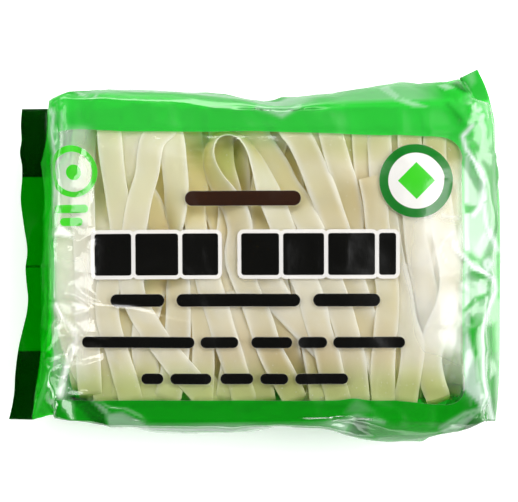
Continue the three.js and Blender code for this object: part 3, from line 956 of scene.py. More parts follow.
# creases as (v, u) lines on the film, each with its height and its reach to either side
def creases():
    def at(*pts):
        return [on_film(x, y) for x, y in pts]
    return [
        (at((462, 138), (472, 157), (484, 175), (492, 205), (498, 245)), 1.5, 5.0),
        (at((455, 236), (461, 250), (477, 268), (490, 274), (497, 286)), 1.2, 4.5),
        (at((497, 286), (490, 305), (483, 329), (483.6, 353), (484, 395), (492, 419)), 1.5, 5.0),
        (at((463, 128), (471, 112), (474, 97)), 1.1, 3.0),
        (at((463, 128), (480, 116), (492, 113)), 1.1, 3.0),
        (at((466, 124), (458, 113), (446, 105)), 0.8, 2.6),
        (at((474, 97), (458, 92), (440, 89)), 0.8, 3.0),
        (at((474, 96), (472, 84), (471, 77)), -0.8, 3.0),
        (at((462, 138), (452, 150), (446, 176)), 0.5, 4.0),
        (at((62, 98), (62.5, 130), (61, 166)), 1.3, 3.0),
        (at((52, 100), (50, 130), (57, 166)), 0.9, 3.0),
        (at((50, 232), (62, 236), (78, 237)), 1.3, 3.4),
        (at((57, 238), (55, 272), (57, 300), (66, 325), (74, 346)), 1.3, 3.4),
        (at((70, 283), (90, 290), (114, 306)), 0.5, 5.0),
        (at((74, 346), (70, 372), (62, 394)), 1.2, 3.6),
        (at((357, 416), (344, 420), (330, 425)), 0.5, 2.2),
        (at((357, 416), (368, 420), (384, 423)), 0.5, 2.2),
        (at((282, 115), (270, 110), (258, 106)), 0.8, 2.2),
        (at((282, 115), (290, 110), (299, 105)), 0.8, 2.2),
        (at((68, 397), (86, 396), (97, 404), (108, 411), (124, 412), (148, 422)), 1.2, 2.4),
        (at((88, 401), (96, 412), (101, 424)), -0.6, 3.0),
        (at((47, 378), (41, 400), (33, 418)), 0.8, 3.0),
        (at((482, 410), (466, 416), (452, 425), (440, 431)), 0.6, 2.2),
    ]

def crease_height(X):
    nv, nu = X.shape[:2]
    u = np.tile(np.arange(nu) * P / nu, (nv, 1)); v = np.tile(np.linspace(0, LEN, nv)[:, None], (1, nu))
    D = np.zeros_like(u)
    U, V = u, v
    for pts, h, reach in creases():
        pts = np.array(pts)
        r0, r1 = np.searchsorted(V[:, 0], [pts[:, 0].min() - reach - 1, pts[:, 0].max() + reach + 1])
        u, v = U[r0:r1], V[r0:r1]
        best = np.full(u.shape, 1e9)
        run = np.zeros_like(u)
        seg = np.sqrt(((pts[1:] - pts[:-1]) ** 2).sum(1)); tot = seg.sum(); done = 0.0
        for (v0, u0), (v1, u1), L in zip(pts[:-1], pts[1:], seg):
            t = np.clip(((v - v0) * (v1 - v0) + (u - u0) * (u1 - u0)) / L ** 2, 0, 1)
            du = np.abs(u - u0 - t * (u1 - u0)); du = np.minimum(du, P - du)
            d = np.hypot(v - v0 - t * (v1 - v0), du)
            run = np.where(d < best, (done + t * L) / tot, run)
            best = np.minimum(best, d); done += L
        ends = smooth(0.0, 0.18, run) * (1 - smooth(0.82, 1.0, run)) * 0.8 + 0.2
        best = np.sqrt(best * best + 1.0) - 0.4
        D[r0:r1] += h * ends * np.clip(1 - best / reach, 0, 1) ** 1.4
    return D

GRID = flat_folds(pull(taut(GRID)))

def on_film(px, py):
    """(v, u) of the point of the film's upper side that stands over a place in the plan"""
    x, y = (px - 254.9) / PX, (255.0 - py) / PX
    d = (GRID[..., 0] - x) ** 2 + (GRID[..., 1] - y) ** 2 - 0.02 * GRID[..., 2] + np.where(GRID[..., 2] < 30, 1e3, 0)
    j, i = np.unravel_index(np.argmin(d), d.shape)
    w = np.exp(-(d[max(j - 2, 0):j + 3, max(i - 2, 0):i + 3] - d[j, i]) / 0.5)
    w = w / w.sum()
    jj, ii = np.mgrid[max(j - 2, 0):max(j - 2, 0) + w.shape[0], max(i - 2, 0):max(i - 2, 0) + w.shape[1]]
    vv, uu = float((w * jj).sum()) * LEN / (GRID.shape[0] - 1), float((w * ii).sum()) * P / GRID.shape[1]
    return vv, uu - P if uu > P - 60 else uu

GRID = crumple(GRID)
NV, NU = GRID.shape[:2]

def grid_faces(nv, nu):
    j, i = np.meshgrid(np.arange(nv - 1), np.arange(nu), indexing='ij')
    i2 = (i + 1) % nu
    q = np.stack([j * nu + i, j * nu + i2, (j + 1) * nu + i2, (j + 1) * nu + i], -1).reshape(-1, 4)
    uv = np.stack([np.stack([i, j], -1), np.stack([i + 1, j], -1), np.stack([i + 1, j + 1], -1), np.stack([i, j + 1], -1)], 2)
    uv = uv.reshape(-1, 2) / np.array([nu, nv - 1.0])
    return q, uv

# pleats, where the ink is darker, and facets in painted shade: points and softness
PLEAT_SHADE_FACETS = [
    ([(458, 78), (463, 78), (471, 91), (467, 92)], 7.0),
    ([(445, 103), (449, 102), (464, 120), (461, 122)], 7.0),
    ([(68, 397), (86, 396.5), (90, 402), (77, 407)], 2.0),
    ([(77, 407), (89, 401), (104, 414), (106, 427), (97, 427)], 2.0),
    ([(357, 416), (366, 420), (372, 437), (345, 437)], 4.0),
    ([(466, 416), (486, 421), (462, 437)], 3.0),
    ([(449, 84), (459, 79), (470, 93), (463, 92)], 2.5),
    ([(489, 113), (494, 108), (495, 112), (490, 115)], 1.2),
]
# painted sheen and glare on facets: points, softness and how pale
SHEEN_FACETS = [
    ([(90, 400), (101, 405), (110, 412), (105, 415)], 2.0, 0.50),
    ([(105, 414), (122, 412), (143, 422), (156, 432), (109, 430)], 3.0, 0.50),
    ([(330, 425), (355, 417), (343, 438)], 3.0, 0.50),
    ([(376, 436), (400, 434), (438, 433), (436, 444), (376, 444)], 4.0, 0.30),
    ([(440, 431), (466, 416), (482, 410), (468, 424), (450, 439)], 2.5, 0.50),
    ([(339, 420), (350, 404), (357, 398), (366, 403), (384, 422), (357, 416)], 6.0, 0.15),
    ([(256, 106), (302, 105), (282, 115)], 2.5, 0.42),
    ([(462, 142), (472, 158), (484, 178), (491, 208), (494, 245), (480, 264), (464, 245)], 9.0, 0.55),
    ([(464, 262), (480, 277), (495, 288), (484, 326), (468, 312)], 8.0, 0.45),
    ([(464, 326), (483, 330), (486, 396), (492, 418), (464, 390)], 3.0, 0.95),
    ([(464, 150), (471, 158), (471, 404), (464, 384)], 3.0, 0.75),
    ([(452, 96), (470, 99), (466, 116), (450, 102)], 6.0, 0.12),
    ([(492, 150), (499, 150), (501, 260), (497, 260)], 4.0, 0.35),
    ([(47, 378), (44, 398), (33, 421), (36, 402)], 3.0, 0.25),
    ([(58, 118), (63, 112), (62, 165), (57, 165)], 3.0, 0.35),
    ([(52, 236), (58.5, 223), (66, 229), (76, 239)], 3.0, 0.95),
    ([(455, 98), (472, 93), (474, 103), (462, 106)], 3.0, 0.30),
    ([(376, 88), (388, 84), (402, 96), (396, 101)], 2.5, 0.60),
    ([(396, 101), (402, 96), (430, 107), (414, 107)], 2.5, 0.55),
    ([(436, 85), (446, 83), (457, 88), (446, 90)], 2.0, 0.55),
    ([(74, 91), (85, 93), (91, 98), (81, 96)], 1.5, 0.7),
    ([(464, 74), (475, 70), (477, 82), (471, 88)], 5.0, 0.30),
    ([(90, 99), (96, 93), (101, 92), (94, 99)], 1.5, 0.6),
]
# facets whose print shows full green
GREEN_FACETS = [
    ([(464, 203), (478, 206), (474, 213), (465, 214)], 2.0, 0.9),
    ([(463, 249), (472, 252), (482, 262), (470, 261)], 3.0, 0.8),
    ([(463, 310), (474, 297), (477, 303), (465, 314)], 2.0, 0.9),
    ([(474, 297), (491, 290.5), (489, 296), (477, 303)], 2.0, 0.9),
    ([(466, 326), (474, 325), (473, 338), (468, 335)], 2.5, 0.6),
    ([(485, 325), (497, 322), (499, 368), (488, 358)], 6.0, 0.9),
    ([(475, 360), (482, 357), (483, 384), (476, 384)], 3.0, 0.4),
    ([(488, 382), (496, 372), (496, 420), (491, 410)], 2.5, 0.95),
    ([(495, 150), (499, 150), (501, 300), (497, 300)], 1.5, 0.7),
    ([(441, 91), (472, 96), (468, 108), (448, 106)], 4.0, 0.75),
    ([(54, 105), (60.5, 101), (61.5, 118), (60, 136), (55, 126)], 1.5, 0.95),
]
# painted highlights: white glints along sharp folds: points, half width and strength
GLINTS = [
    ([(473, 125), (463, 136), (466, 148), (475, 162), (482, 173), (484, 186), (485, 199)], 0.8, 1.05),
    ([(483.6, 180), (482.7, 198), (480, 208), (474, 215)], 1.7, 1.02),
    ([(483.6, 204), (487, 226), (495, 243), (498, 250)], 1.5, 1.02),
    ([(454, 241), (455.8, 249), (463, 256), (474, 267), (487, 273), (494.8, 280.4), (497, 289.7), (491, 302.7)], 0.9, 1.10),
    ([(491, 302.7), (485.5, 321), (482.7, 336), (483.6, 358.4), (484.6, 377), (489, 399), (493, 420)], 0.5, 0.95),
    ([(443, 215), (457.6, 218)], 0.6, 0.55),
    ([(462, 285), (458, 305), (448, 322), (440, 332)], 3.4, 0.62),
    ([(454, 232), (446, 238), (440, 250), (447, 262)], 1.2, 0.62),
    ([(406, 268), (412, 290), (424, 312)], 5.0, 0.42),
    ([(485.5, 262), (489, 260), (491, 264), (488, 269), (485.5, 265)], 1.3, 0.9),
    ([(50.7, 109.6), (53, 115.7), (51.5, 131), (53, 146.4), (56.9, 158.7), (60.7, 166.4)], 0.2, 0.85),
    ([(61.5, 112), (62, 135), (60.5, 160)], 0.0, 0.5),
    ([(54, 305), (58.8, 314.6), (71, 327), (76, 339), (72, 351), (67, 363), (62.4, 380.5), (60, 395)], 2.2, 0.75),
    ([(332, 424), (345, 420), (357, 416), (368, 420), (384, 423)], 0.6, 0.35),
    ([(441, 428), (455, 420), (466, 414), (481, 409)], 0.6, 0.45),
    ([(446, 429), (458, 423), (468, 418)], 0.6, 0.45),
    ([(258, 106), (270, 110), (282, 115), (290, 110), (299, 105)], 1.3, 0.6),
]

def marks(X):
    """for each point of the film: how dark it is, in a pleat and in painted shade; how pale, in painted sheen and
    glare; its gloss
    """
    nv, nu = X.shape[:2]
    u = np.tile(np.arange(nu) * P / nu, (nv, 1)); v = np.tile(np.linspace(0, LEN, nv)[:, None], (1, nu))
    k = (0.8 - 0.049) / (0.8 - X[..., 2] / 1000.0)
    x, y = X[..., 0] * PX * k + 254.9, 255.0 - X[..., 1] * PX * k
    upper = smooth(16.0, 27.0, X[..., 2])
    def inside(pts, soft):
        q = np.array(pts, float); c = q.mean(0)
        best = None
        for a, b in zip(q, np.roll(q, -1, 0)):
            m = np.array([b[1] - a[1], a[0] - b[0]]); m /= np.hypot(*m) + 1e-9
            if (c - a) @ m < 0:
                m = -m
            d = ((x - a[0]) * m[0] + (y - a[1]) * m[1]) / soft
            best = d if best is None else np.minimum(best, d)
        return np.clip(best + 0.3, 0, 1)
    dark = np.zeros_like(u); pale = np.zeros_like(u)
    for pts, soft in PLEAT_SHADE_FACETS:
        dark = np.maximum(dark, inside(pts, soft))
    for pts, soft, k_ in SHEEN_FACETS:
        pale = np.maximum(pale, k_ * inside(pts, soft))
    full = np.zeros_like(u)
    for pts, soft, k_ in GREEN_FACETS:
        full = np.maximum(full, k_ * inside(pts, soft))
    def along(pts, half):
        best = np.full(u.shape, 1e9)
        for a, b in zip(pts[:-1], pts[1:]):
            ax_, ay_ = a; bx, by = b
            t = np.clip(((x - ax_) * (bx - ax_) + (y - ay_) * (by - ay_)) / ((bx - ax_) ** 2 + (by - ay_) ** 2), 0, 1)
            best = np.minimum(best, np.hypot(x - ax_ - t * (bx - ax_), y - ay_ - t * (by - ay_)))
        return np.exp(-(best / (half + 1.7)) ** 2)
    # painted sheen: pale streaks along the long sides, where the film is stretched round the edge
    sheen_streak = value_noise(np.mod(u * 4.0, P), v * 0.55, 14.0, 21)
    sheen_streak = smooth(0.25, 0.8, sheen_streak)
    top = smooth(W + 1, W + 3, u) * (1 - smooth(W + 22, W + 34, u)) * smooth(44, 54, v) * (1 - smooth(176, 190, v))
    low = smooth(P - 30, P - 20, u) * (1 - smooth(P - 3, P - 1, u)) * smooth(60, 70, v) * (1 - smooth(178, 188, v))
    streak_r = smooth(320, 345, x)
    pale = np.maximum(pale, top * ((0.22 + 0.44 * sheen_streak) * (1 - streak_r) + 0.36 * streak_r))
    pale = np.maximum(pale, low * (0.22 + 0.50 * sheen_streak) * (1 - 0.85 * smooth(345, 375, x)))
    # painted shade on the upper side panel; the top of the right wall a little darker
    dark = np.maximum(dark, 0.42 * smooth(W + 1, W + 4, u) * (1 - smooth(W + 30, W + 40, u)) * (1 - smooth(184, 196, v)))
    dark = np.maximum(dark, 0.10 * smooth(464, 470, x) * smooth(132, 150, y))
    # painted glare: a white haze over the window's right and left parts
    cloud = value_noise(np.mod(u + 0.5 * v, P), v, 19.0, 31) * 0.62 + value_noise(u, v, 8.0, 32) * 0.38
    cloud = smooth(0.15, 0.85, cloud)
    glare_right = smooth(394, 428, x) * (1 - smooth(460, 465, x)) * smooth(196, 236, y) * (1 - smooth(345, 392, y - 0.5 * (x - 440)))
    pale = np.maximum(pale, 0.68 * glare_right * (0.50 + 0.50 * cloud))
    glare_left = smooth(50, 54, x) * (1 - smooth(80, 98, x)) * smooth(122, 132, y) * (1 - smooth(360, 392, y))
    pale = np.maximum(pale, 0.58 * glare_left * (0.45 + 0.55 * cloud))
    wall = smooth(464, 470, x) * smooth(118, 132, y) * (1 - smooth(400, 418, y))
    pale = pale * (1 - full) * (1 - 0.14 * wall)
    for pts, half, k_ in GLINTS:
        pale = np.maximum(pale, k_ * along(pts, half))
    gloss = 1 - 0.75 * full
    gloss *= 1 - 0.70 * smooth(44, 50, x) * (1 - smooth(72, 82, x)) * smooth(94, 101, y) * (1 - smooth(160, 176, y))
    gloss *= 1 - 0.45 * smooth(46, 52, x) * (1 - smooth(84, 94, x)) * smooth(168, 182, y) * (1 - smooth(380, 396, y))
    gloss *= 1 - 0.70 * smooth(290, 330, x) * smooth(W - 4, W - 2, u) * (1 - smooth(W + 3, W + 6, u)) * (1 - smooth(450, 460, x))
    gloss *= 1 - 0.55 * smooth(340, 370, x) * (u > P - 60) * (u < P - 2)
    gloss *= 1 - 0.93 * smooth(330, 352, x) * smooth(W - 26, W - 20, u) * (1 - smooth(W + 6, W + 12, u)) * (1 - smooth(462, 474, x))
    gloss *= 1 - 0.65 * smooth(340, 380, x) * (1 - smooth(9, 12, u)) * (u < 60) * (1 - smooth(470, 482, x))
    right = smooth(380, 410, x) * (1 - smooth(460, 466, x)) * smooth(12, 16, u) * (1 - smooth(W - 18, W - 14, u))
    gloss *= 1 - right * (0.75 - 0.55 * cloud)
    gloss *= 1 - 0.75 * smooth(W + 1, W + 3, u) * (1 - smooth(W + S - 8, W + S, u))
    return np.stack([dark * upper, pale * upper, gloss], -1)

fq, fuv = grid_faces(NV, NU)
film = new_mesh("film", GRID.reshape(-1, 3), fq, uv=fuv, attrs={"marks": marks(GRID).reshape(-1, 3)})

NORM = np.moveaxis(vnormals(np.moveaxis(GRID, -1, 0)), 0, -1)
if NORM[NV // 2, int(NU * 0.17), 2] < 0:
    NORM = -NORM

# the lap seam along the middle of the back
def seam_strip():
    uc = W + S + W / 2
    mid = int(round(uc / P * NU))
    cols = np.arange(mid, mid + 2)
    pts = GRID[:, cols] + NORM[:, cols] * 0.14
    pts[..., 2] = np.maximum(pts[..., 2], 0.12)
    n = len(cols)
    j, i = np.meshgrid(np.arange(NV - 1), np.arange(n - 1), indexing='ij')
    q = np.stack([j * n + i, j * n + i + 1, (j + 1) * n + i + 1, (j + 1) * n + i], -1).reshape(-1, 4)
    uv = np.stack([np.stack([i, j], -1), np.stack([i + 1, j], -1), np.stack([i + 1, j + 1], -1), np.stack([i, j + 1], -1)], 2)
    uv = uv.reshape(-1, 2) / np.array([n - 1.0, NV - 1.0])
    return new_mesh("back_seam", pts.reshape(-1, 3), q, uv=uv)

seam = seam_strip()

pile = build(GRID, NORM)
nV, nQ, nT, nA, nB, nC = mesh(pile)

def strip_uv():
    """each strip is one row of the map"""
    count = len(pile.strips)
    longest = max(float(nA[:, 1].max()), 1.0)
    loops = np.concatenate([nQ.ravel(), nT.ravel()])
    a = nA[loops]
    first = np.cumsum([0] + [len(s['c']) * NR for s in pile.strips])
    row = np.searchsorted(first, loops, side='right') - 1
    k = (loops - first[row]) % NR
    kk = k / float(NR)
    # the last face of a ring runs on to its end, not back to 0
    nq = len(nQ)
    quads_k = k[:nq * 4].reshape(-1, 4)
    wrap = (quads_k.max(1) == NR - 1) & (quads_k.min(1) == 0)
    q2 = quads_k.astype(float)
    q2[wrap] = np.where(q2[wrap] == 0, NR, q2[wrap])
    kk[:nq * 4] = (q2 / float(NR)).ravel()
    u = 0.002 + 0.996 * a[:, 1] / longest
    v = (row + 0.04 + 0.92 * kk) / count
    return np.stack([u, v], -1)

noodles = new_mesh("rice_noodles", nV, nQ, nT, uv=strip_uv(), attrs={"strip": nA, "place": nB, "shade_and_tone": nC})
noodles.data.set_sharp_from_angle(angle=math.radians(38))

# =====================================================================================
# 4. Materials
# =====================================================================================
class Nodes:
    """short names for building a material's nodes"""
    def __init__(self, name):
        self.mat = bpy.data.materials.new(name)
        self.mat.use_nodes = True
        self.t = self.mat.node_tree
        self.t.nodes.clear()
        self.out = self.t.nodes.new("ShaderNodeOutputMaterial")
    def new(self, kind, **props):
        n = self.t.nodes.new(kind)
        for k, v in props.items():
            setattr(n, k, v)
        return n
    def put(self, socket, value):
        if isinstance(value, bpy.types.NodeSocket):
            self.t.links.new(value, socket)
        elif value is not None:
            socket.default_value = value
    def math(self, op, a, b=None, c=None, clamp=False):
        n = self.new("ShaderNodeMath", operation=op, use_clamp=clamp)
        self.put(n.inputs[0], a)
        if b is not None: self.put(n.inputs[1], b)
        if c is not None: self.put(n.inputs[2], c)
        return n.outputs[0]
    def mixc(self, f, a, b):
        n = self.new("ShaderNodeMix", data_type='RGBA')
        self.put(n.inputs[0], f); self.put(n.inputs[6], a); self.put(n.inputs[7], b)
        return n.outputs[2]
    def mixf(self, f, a, b):
        n = self.new("ShaderNodeMix", data_type='FLOAT')
        self.put(n.inputs[0], f); self.put(n.inputs[2], a); self.put(n.inputs[3], b)
        return n.outputs[0]
    def mixs(self, f, a, b):
        n = self.new("ShaderNodeMixShader")
        self.put(n.inputs[0], f); self.put(n.inputs[1], a); self.put(n.inputs[2], b)
        return n.outputs[0]
    def noise(self, vec, scale, detail=2.0, rough=0.5, dims='3D'):
        n = self.new("ShaderNodeTexNoise", noise_dimensions=dims)
        self.put(n.inputs["Vector"], vec)
        n.inputs["Scale"].default_value = scale
        n.inputs["Detail"].default_value = detail
        n.inputs["Roughness"].default_value = rough
        return n.outputs["Fac"]
    def ramp(self, f, stops):
        n = self.new("ShaderNodeValToRGB")
        self.put(n.inputs[0], f)
        e = n.color_ramp.elements
        while len(e) > 1: e.remove(e[0])
        e[0].position, e[0].color = stops[0]
        for p, c in stops[1:]:
            k = e.new(p); k.color = c
        return n.outputs[0]

def lin(r, g, b):
    f = lambda c: c / 255 / 12.92 if c <= 10 else ((c / 255 + 0.055) / 1.055) ** 2.4
    return (f(r), f(g), f(b), 1.0)

AA = 0.16    # width of a printed edge, mm

def film_material(name="printed_film", plain=False):
    g = Nodes(name)
    uvm = g.new("ShaderNodeUVMap", uv_map="OFBake")
    sep = g.new("ShaderNodeSeparateXYZ"); g.put(sep.inputs[0], uvm.outputs[0])
    u = g.math('MULTIPLY', sep.outputs[0], P)            # round the tube, mm
    v = g.math('MULTIPLY', sep.outputs[1], LEN)          # along it
    def edge(d):                                         # 1 inside, 0 outside
        return g.math('SUBTRACT', 0.5, g.math('DIVIDE', d, AA), clamp=True)
    def apart(c, x):
        return g.math('ABSOLUTE', g.math('SUBTRACT', x, c))
    def nearest(x, spans, shrink):
        """how far x is outside the nearest span"""
        best = None
        for a, b in spans:
            d = g.math('SUBTRACT', apart((a + b) / 2, x), (b - a) / 2 - shrink)
            best = d if best is None else g.math('MINIMUM', best, d)
        return best
    def rounded(dx, dy, r):
        hx = g.math('MAXIMUM', dx, 0.0); hy = g.math('MAXIMUM', dy, 0.0)
        l = g.math('SQRT', g.math('ADD', g.math('MULTIPLY', hx, hx), g.math('MULTIPLY', hy, hy)))
        return g.math('SUBTRACT', l, r)
    def row(spans, uc, half, r):
        return rounded(nearest(v, spans, r), g.math('SUBTRACT', apart(uc, u), half - r), r)
    def disc(vc, uc):
        dx = g.math('SUBTRACT', v, vc); dy = g.math('SUBTRACT', u, uc)
        return g.math('SQRT', g.math('ADD', g.math('MULTIPLY', dx, dx), g.math('MULTIPLY', dy, dy)))
    # fields: transmission colour T, body colour C, how solid A
    CLEAR = (0.965, 0.972, 0.962, 1.0)
    GREEN_T = (0.022, 0.740, 0.045, 1.0)
    GREEN_C = (0.045, 0.660, 0.070, 1.0)
    LOW_SHADE_T = (0.008, 0.560, 0.014, 1.0)
    LOW_SHADE_C = (0.006, 0.360, 0.010, 1.0)
    # painted shade: the left fin's film is a darker green
    FIN_SHADE_T = (0.003, 0.480, 0.008, 1.0)
    # the clear window: its left edge wanders a little, and only its right corners are round
    wob = g.math('ADD', g.math('MULTIPLY', g.math('MULTIPLY_ADD', u, 1 / 9.0, -99.0 / 9.0, clamp=True), 3.6),
                 g.math('MULTIPLY', g.math('SINE', g.math('MULTIPLY', u, 0.13)), 1.1))
    wl = g.math('SUBTRACT', v, wob)
    # its long edges run a little aslant and wavy
    t1 = g.math('MULTIPLY_ADD', v, 0.0205 / (px_v(449) - px_v(258)), -0.0205 * px_v(258) / (px_v(449) - px_v(258)), clamp=True)
    t1 = g.math('MINIMUM', t1, 0.0205)
    t3 = g.math('MINIMUM', g.math('MULTIPLY_ADD', v, -0.0150 / 19.0, 0.0150 * px_v(114) / 19.0, clamp=True), 0.0150)
    uw = g.math('MULTIPLY', u, g.math('ADD', g.math('ADD', t1, t3), 1.0))
    d1 = g.math('MULTIPLY_ADD', v, 1 / 4.2, -px_v(356) / 4.2)
    hump = g.math('MULTIPLY', g.math('POWER', 2.718, g.math('MULTIPLY', g.math('MULTIPLY', d1, d1), -1.0)), -1.1)
    dip = g.math('MULTIPLY', g.math('MULTIPLY_ADD', v, 1 / 14.0, -px_v(398) / 14.0, clamp=True), 1.7)
    uw = g.math('ADD', uw, g.math('MULTIPLY', g.math('ADD', hump, dip), g.math('MULTIPLY_ADD', u, -1 / 60.0, 1.0, clamp=True)))
    wide = edge(rounded(nearest(v, [(WIN_V0 - 30, WIN_V1)], 8.0), g.math('SUBTRACT', apart((WIN_U0 + WIN_U1) / 2, uw), (WIN_U1 - WIN_U0) / 2 - 8.0), 8.0))
    square = edge(g.math('SUBTRACT', WIN_V0, wl))
    window = g.math('MULTIPLY', wide, square)
    infin = g.math('LESS_THAN', v, FL)
    lend = g.math('MULTIPLY_ADD', v, -1 / 4.0, 36.0 / 4.0, clamp=True)
    # painted shade: the green is darker along the lower long side, and darker at the right end
    fold = g.math('MINIMUM', u, g.math('SUBTRACT', P, u))
    shaded_ink = g.math('MULTIPLY_ADD', fold, -1 / 14.0, 1.6, clamp=True)
    rend = g.math('MULTIPLY_ADD', v, 1 / 8.0, -192.0 / 8.0, clamp=True)
    rend = g.math('MULTIPLY', rend, g.math('MULTIPLY_ADD', u, -1 / 14.0, 118.0 / 14.0, clamp=True))
    shaded_ink = g.math('MAXIMUM', shaded_ink, g.math('MULTIPLY', rend, 0.75))
    green_t = g.mixc(infin, g.mixc(lend, g.mixc(shaded_ink, GREEN_T, LOW_SHADE_T), (0.008, 0.800, 0.016, 1.0)), FIN_SHADE_T)
    T = g.mixc(window, green_t, CLEAR)
    C = g.mixc(lend, g.mixc(shaded_ink, GREEN_C, LOW_SHADE_C), (0.006, 0.700, 0.012, 1.0))
    A = g.math('MULTIPLY', g.math('SUBTRACT', 1.0, window), g.math('SUBTRACT', 0.60, g.math('ADD', g.math('MULTIPLY', infin, 0.248), g.math('MULTIPLY', lend, 0.35))))
    # pleats, where three layers of film lie, have darker ink; painted shade darkens facets turned from the light,
    # the upper side panel and the left fin's tucks; painted sheen and glare make facets, the long sides and the window
    # paler
    at = g.new("ShaderNodeAttribute", attribute_name="marks")
    sm = g.new("ShaderNodeSeparateXYZ"); g.put(sm.inputs[0], at.outputs["Vector"])
    dark, pale, dull = sm.outputs
    T = g.mixc(g.math('MULTIPLY', dark, 0.9), T, (0.001, 0.20, 0.002, 1.0))
    # painted shade: darker still over the tucks of the left fin
    tuck_shade = g.math('MULTIPLY', infin, g.math('GREATER_THAN', apart(W / 2, u), W / 2 - 28.0))
    T = g.mixc(g.math('MULTIPLY', tuck_shade, 0.40), T, (0.001, 0.235, 0.002, 1.0))
    C = g.mixc(g.math('MULTIPLY', dark, 0.75), C, (0.004, 0.14, 0.006, 1.0))
    # painted highlights: where pale runs past 1 the film is painted white; painted sheen makes it paler and more solid
    white = g.math('SUBTRACT', pale, 1.0, clamp=True)
    pale = g.math('MINIMUM', pale, 1.0)
    C = g.mixc(g.math('MAXIMUM', pale, window), C, g.mixc(g.math('MAXIMUM', white, window), (0.61, 0.70, 0.655, 1.0), (0.90, 0.90, 0.885, 1.0)))
    A = g.math('MAXIMUM', A, g.mixf(pale, A, 0.94))
    def ink(mask, colour, solid, T, C, A):
        return T, g.mixc(mask, C, colour), g.mixf(mask, A, solid)
    BLACK, BROWN, WHITE = lin(12, 12, 10), lin(48, 28, 18), lin(238, 236, 233)
    LEAF, DARK = lin(62, 205, 40), lin(16, 118, 34)
    title = row(TITLE, TITLE_U, TITLE_H, 1.1)
    T, C, A = ink(edge(g.math('SUBTRACT', title, 1.45)), WHITE, 0.96, T, C, A)
    T, C, A = ink(edge(title), BLACK, 1.0, T, C, A)
    for spans, uc, half, col in LINES:
        T, C, A = ink(edge(row(spans, uc, half, half - 0.02)), {"k": BLACK, "b": BROWN, "g": LEAF}[col], 1.0 if col != "g" else 0.93, T, C, A)
    # round mark at the left: a ring and a dot
    d = disc(*MARK_L)
    T, C, A = ink(edge(g.math('SUBTRACT', apart(8.6, d), 1.1)), LEAF, 0.93, T, C, A)
    T, C, A = ink(edge(g.math('SUBTRACT', d, 3.0)), LEAF, 0.93, T, C, A)
    # round mark at the right: dark ring, white disc, green diamond
    d = disc(*MARK_R)
    T, C, A = ink(edge(g.math('SUBTRACT', d, 14.4)), DARK, 0.97, T, C, A)
    T, C, A = ink(edge(g.math('SUBTRACT', d, 10.9)), WHITE, 0.97, T, C, A)
    dia = g.math('ADD', apart(MARK_R[0], v), apart(MARK_R[1], u))
    T, C, A = ink(edge(g.math('SUBTRACT', dia, 7.2)), LEAF, 0.97, T, C, A)
    # faint unevenness of the film
    mm = g.new("ShaderNodeCombineXYZ"); g.put(mm.inputs[0], u); g.put(mm.inputs[1], v)
    n1 = g.noise(mm.outputs[0], 0.085, 2.5, 0.55)
    n2 = g.noise(mm.outputs[0], 0.9, 2.0, 0.5)
    hgt = g.math('ADD', g.math('MULTIPLY', n1, 1.0), g.math('MULTIPLY', n2, 0.05))
    bump = g.new("ShaderNodeBump"); g.put(bump.inputs["Height"], hgt)
    bump.inputs["Strength"].default_value = 0.28
    bump.inputs["Distance"].default_value = 0.0012
    clear = g.new("ShaderNodeBsdfTransparent"); g.put(clear.inputs[0], T)
    body = g.new("ShaderNodeBsdfDiffuse"); g.put(body.inputs[0], C)
    trans = g.new("ShaderNodeBsdfTranslucent"); g.put(trans.inputs[0], C)
    solid = g.mixs(0.25, body.outputs[0], trans.outputs[0])
    under = g.mixs(A, clear.outputs[0], solid)
    gloss = g.new("ShaderNodeBsdfGlossy")
    gloss.inputs["Color"].default_value = (1, 1, 1, 1)
    gloss.inputs["Roughness"].default_value = 0.05
    g.put(gloss.inputs["Normal"], bump.outputs[0])
    soft = g.new("ShaderNodeBsdfGlossy")
    soft.inputs["Color"].default_value = (1, 1, 1, 1)
    soft.inputs["Roughness"].default_value = 0.24
    g.put(soft.inputs["Normal"], bump.outputs[0])
    lw = g.new("ShaderNodeLayerWeight"); lw.inputs["Blend"].default_value = 0.5
    g.put(lw.inputs["Normal"], bump.outputs[0])
    f5 = g.math('POWER', lw.outputs["Facing"], 4.2)
    fac = g.math('ADD', g.math('MULTIPLY', f5, 0.85), 0.085)
    near = g.math('MULTIPLY_ADD', v, 1 / 3.0, -31.0 / 3.0, clamp=True)       # the left end is duller
    fac = g.math('MULTIPLY', fac, g.math('MULTIPLY_ADD', near, 0.95, 0.05))
    fac = g.math('MULTIPLY', fac, dull)
    rough = g.math('MULTIPLY_ADD', g.math('MULTIPLY_ADD', v, 1 / 45.0, -145.0 / 45.0, clamp=True), 0.66, 0.14)
    shine = g.mixs(rough, gloss.outputs[0], soft.outputs[0])
    g.t.links.new(g.mixs(fac, under, shine), g.out.inputs["Surface"])
    return g.mat

def px_v(x): return (x - 254.9) / PX - XL + VL
def px_u(y): return (255.0 - y) / PX - LOW
WIN_V0, WIN_V1 = 34.2, px_v(466.0)
WIN_U0, WIN_U1 = px_u(402.0), px_u(131.5)
TITLE = [(px_v(a), px_v(b)) for a, b in ((96, 133), (137, 180), (184, 220), (243, 281), (285, 326), (330, 377), (381, 398))]
TITLE_U, TITLE_H = px_u(255.0), 21.0 / PX
LINES = [
    ([(px_v(a), px_v(b)) for a, b in ((112, 166), (178, 302), (315, 382))], px_u(301), 6.4 / PX, "k"),
    ([(px_v(a), px_v(b)) for a, b in ((83, 196), (202, 240), (253, 294), (300, 329), (335, 407))], px_u(343.5), 5.6 / PX, "k"),
    ([(px_v(a), px_v(b)) for a, b in ((143, 165), (172, 213), (222, 255), (262, 290), (297, 350))], px_u(380), 5.4 / PX, "k"),
    ([(px_v(187), px_v(303))], px_u(199), 7.5 / PX, "b"),
    ([(px_v(54), px_v(90))], px_u(208.5), 4.2 / PX, "g"),
    ([(px_v(60), px_v(84))], px_u(221.5), 4.2 / PX, "g"),
]
MARK_L = (px_v(75), px_u(172))
MARK_R = (px_v(418.5), px_u(182))

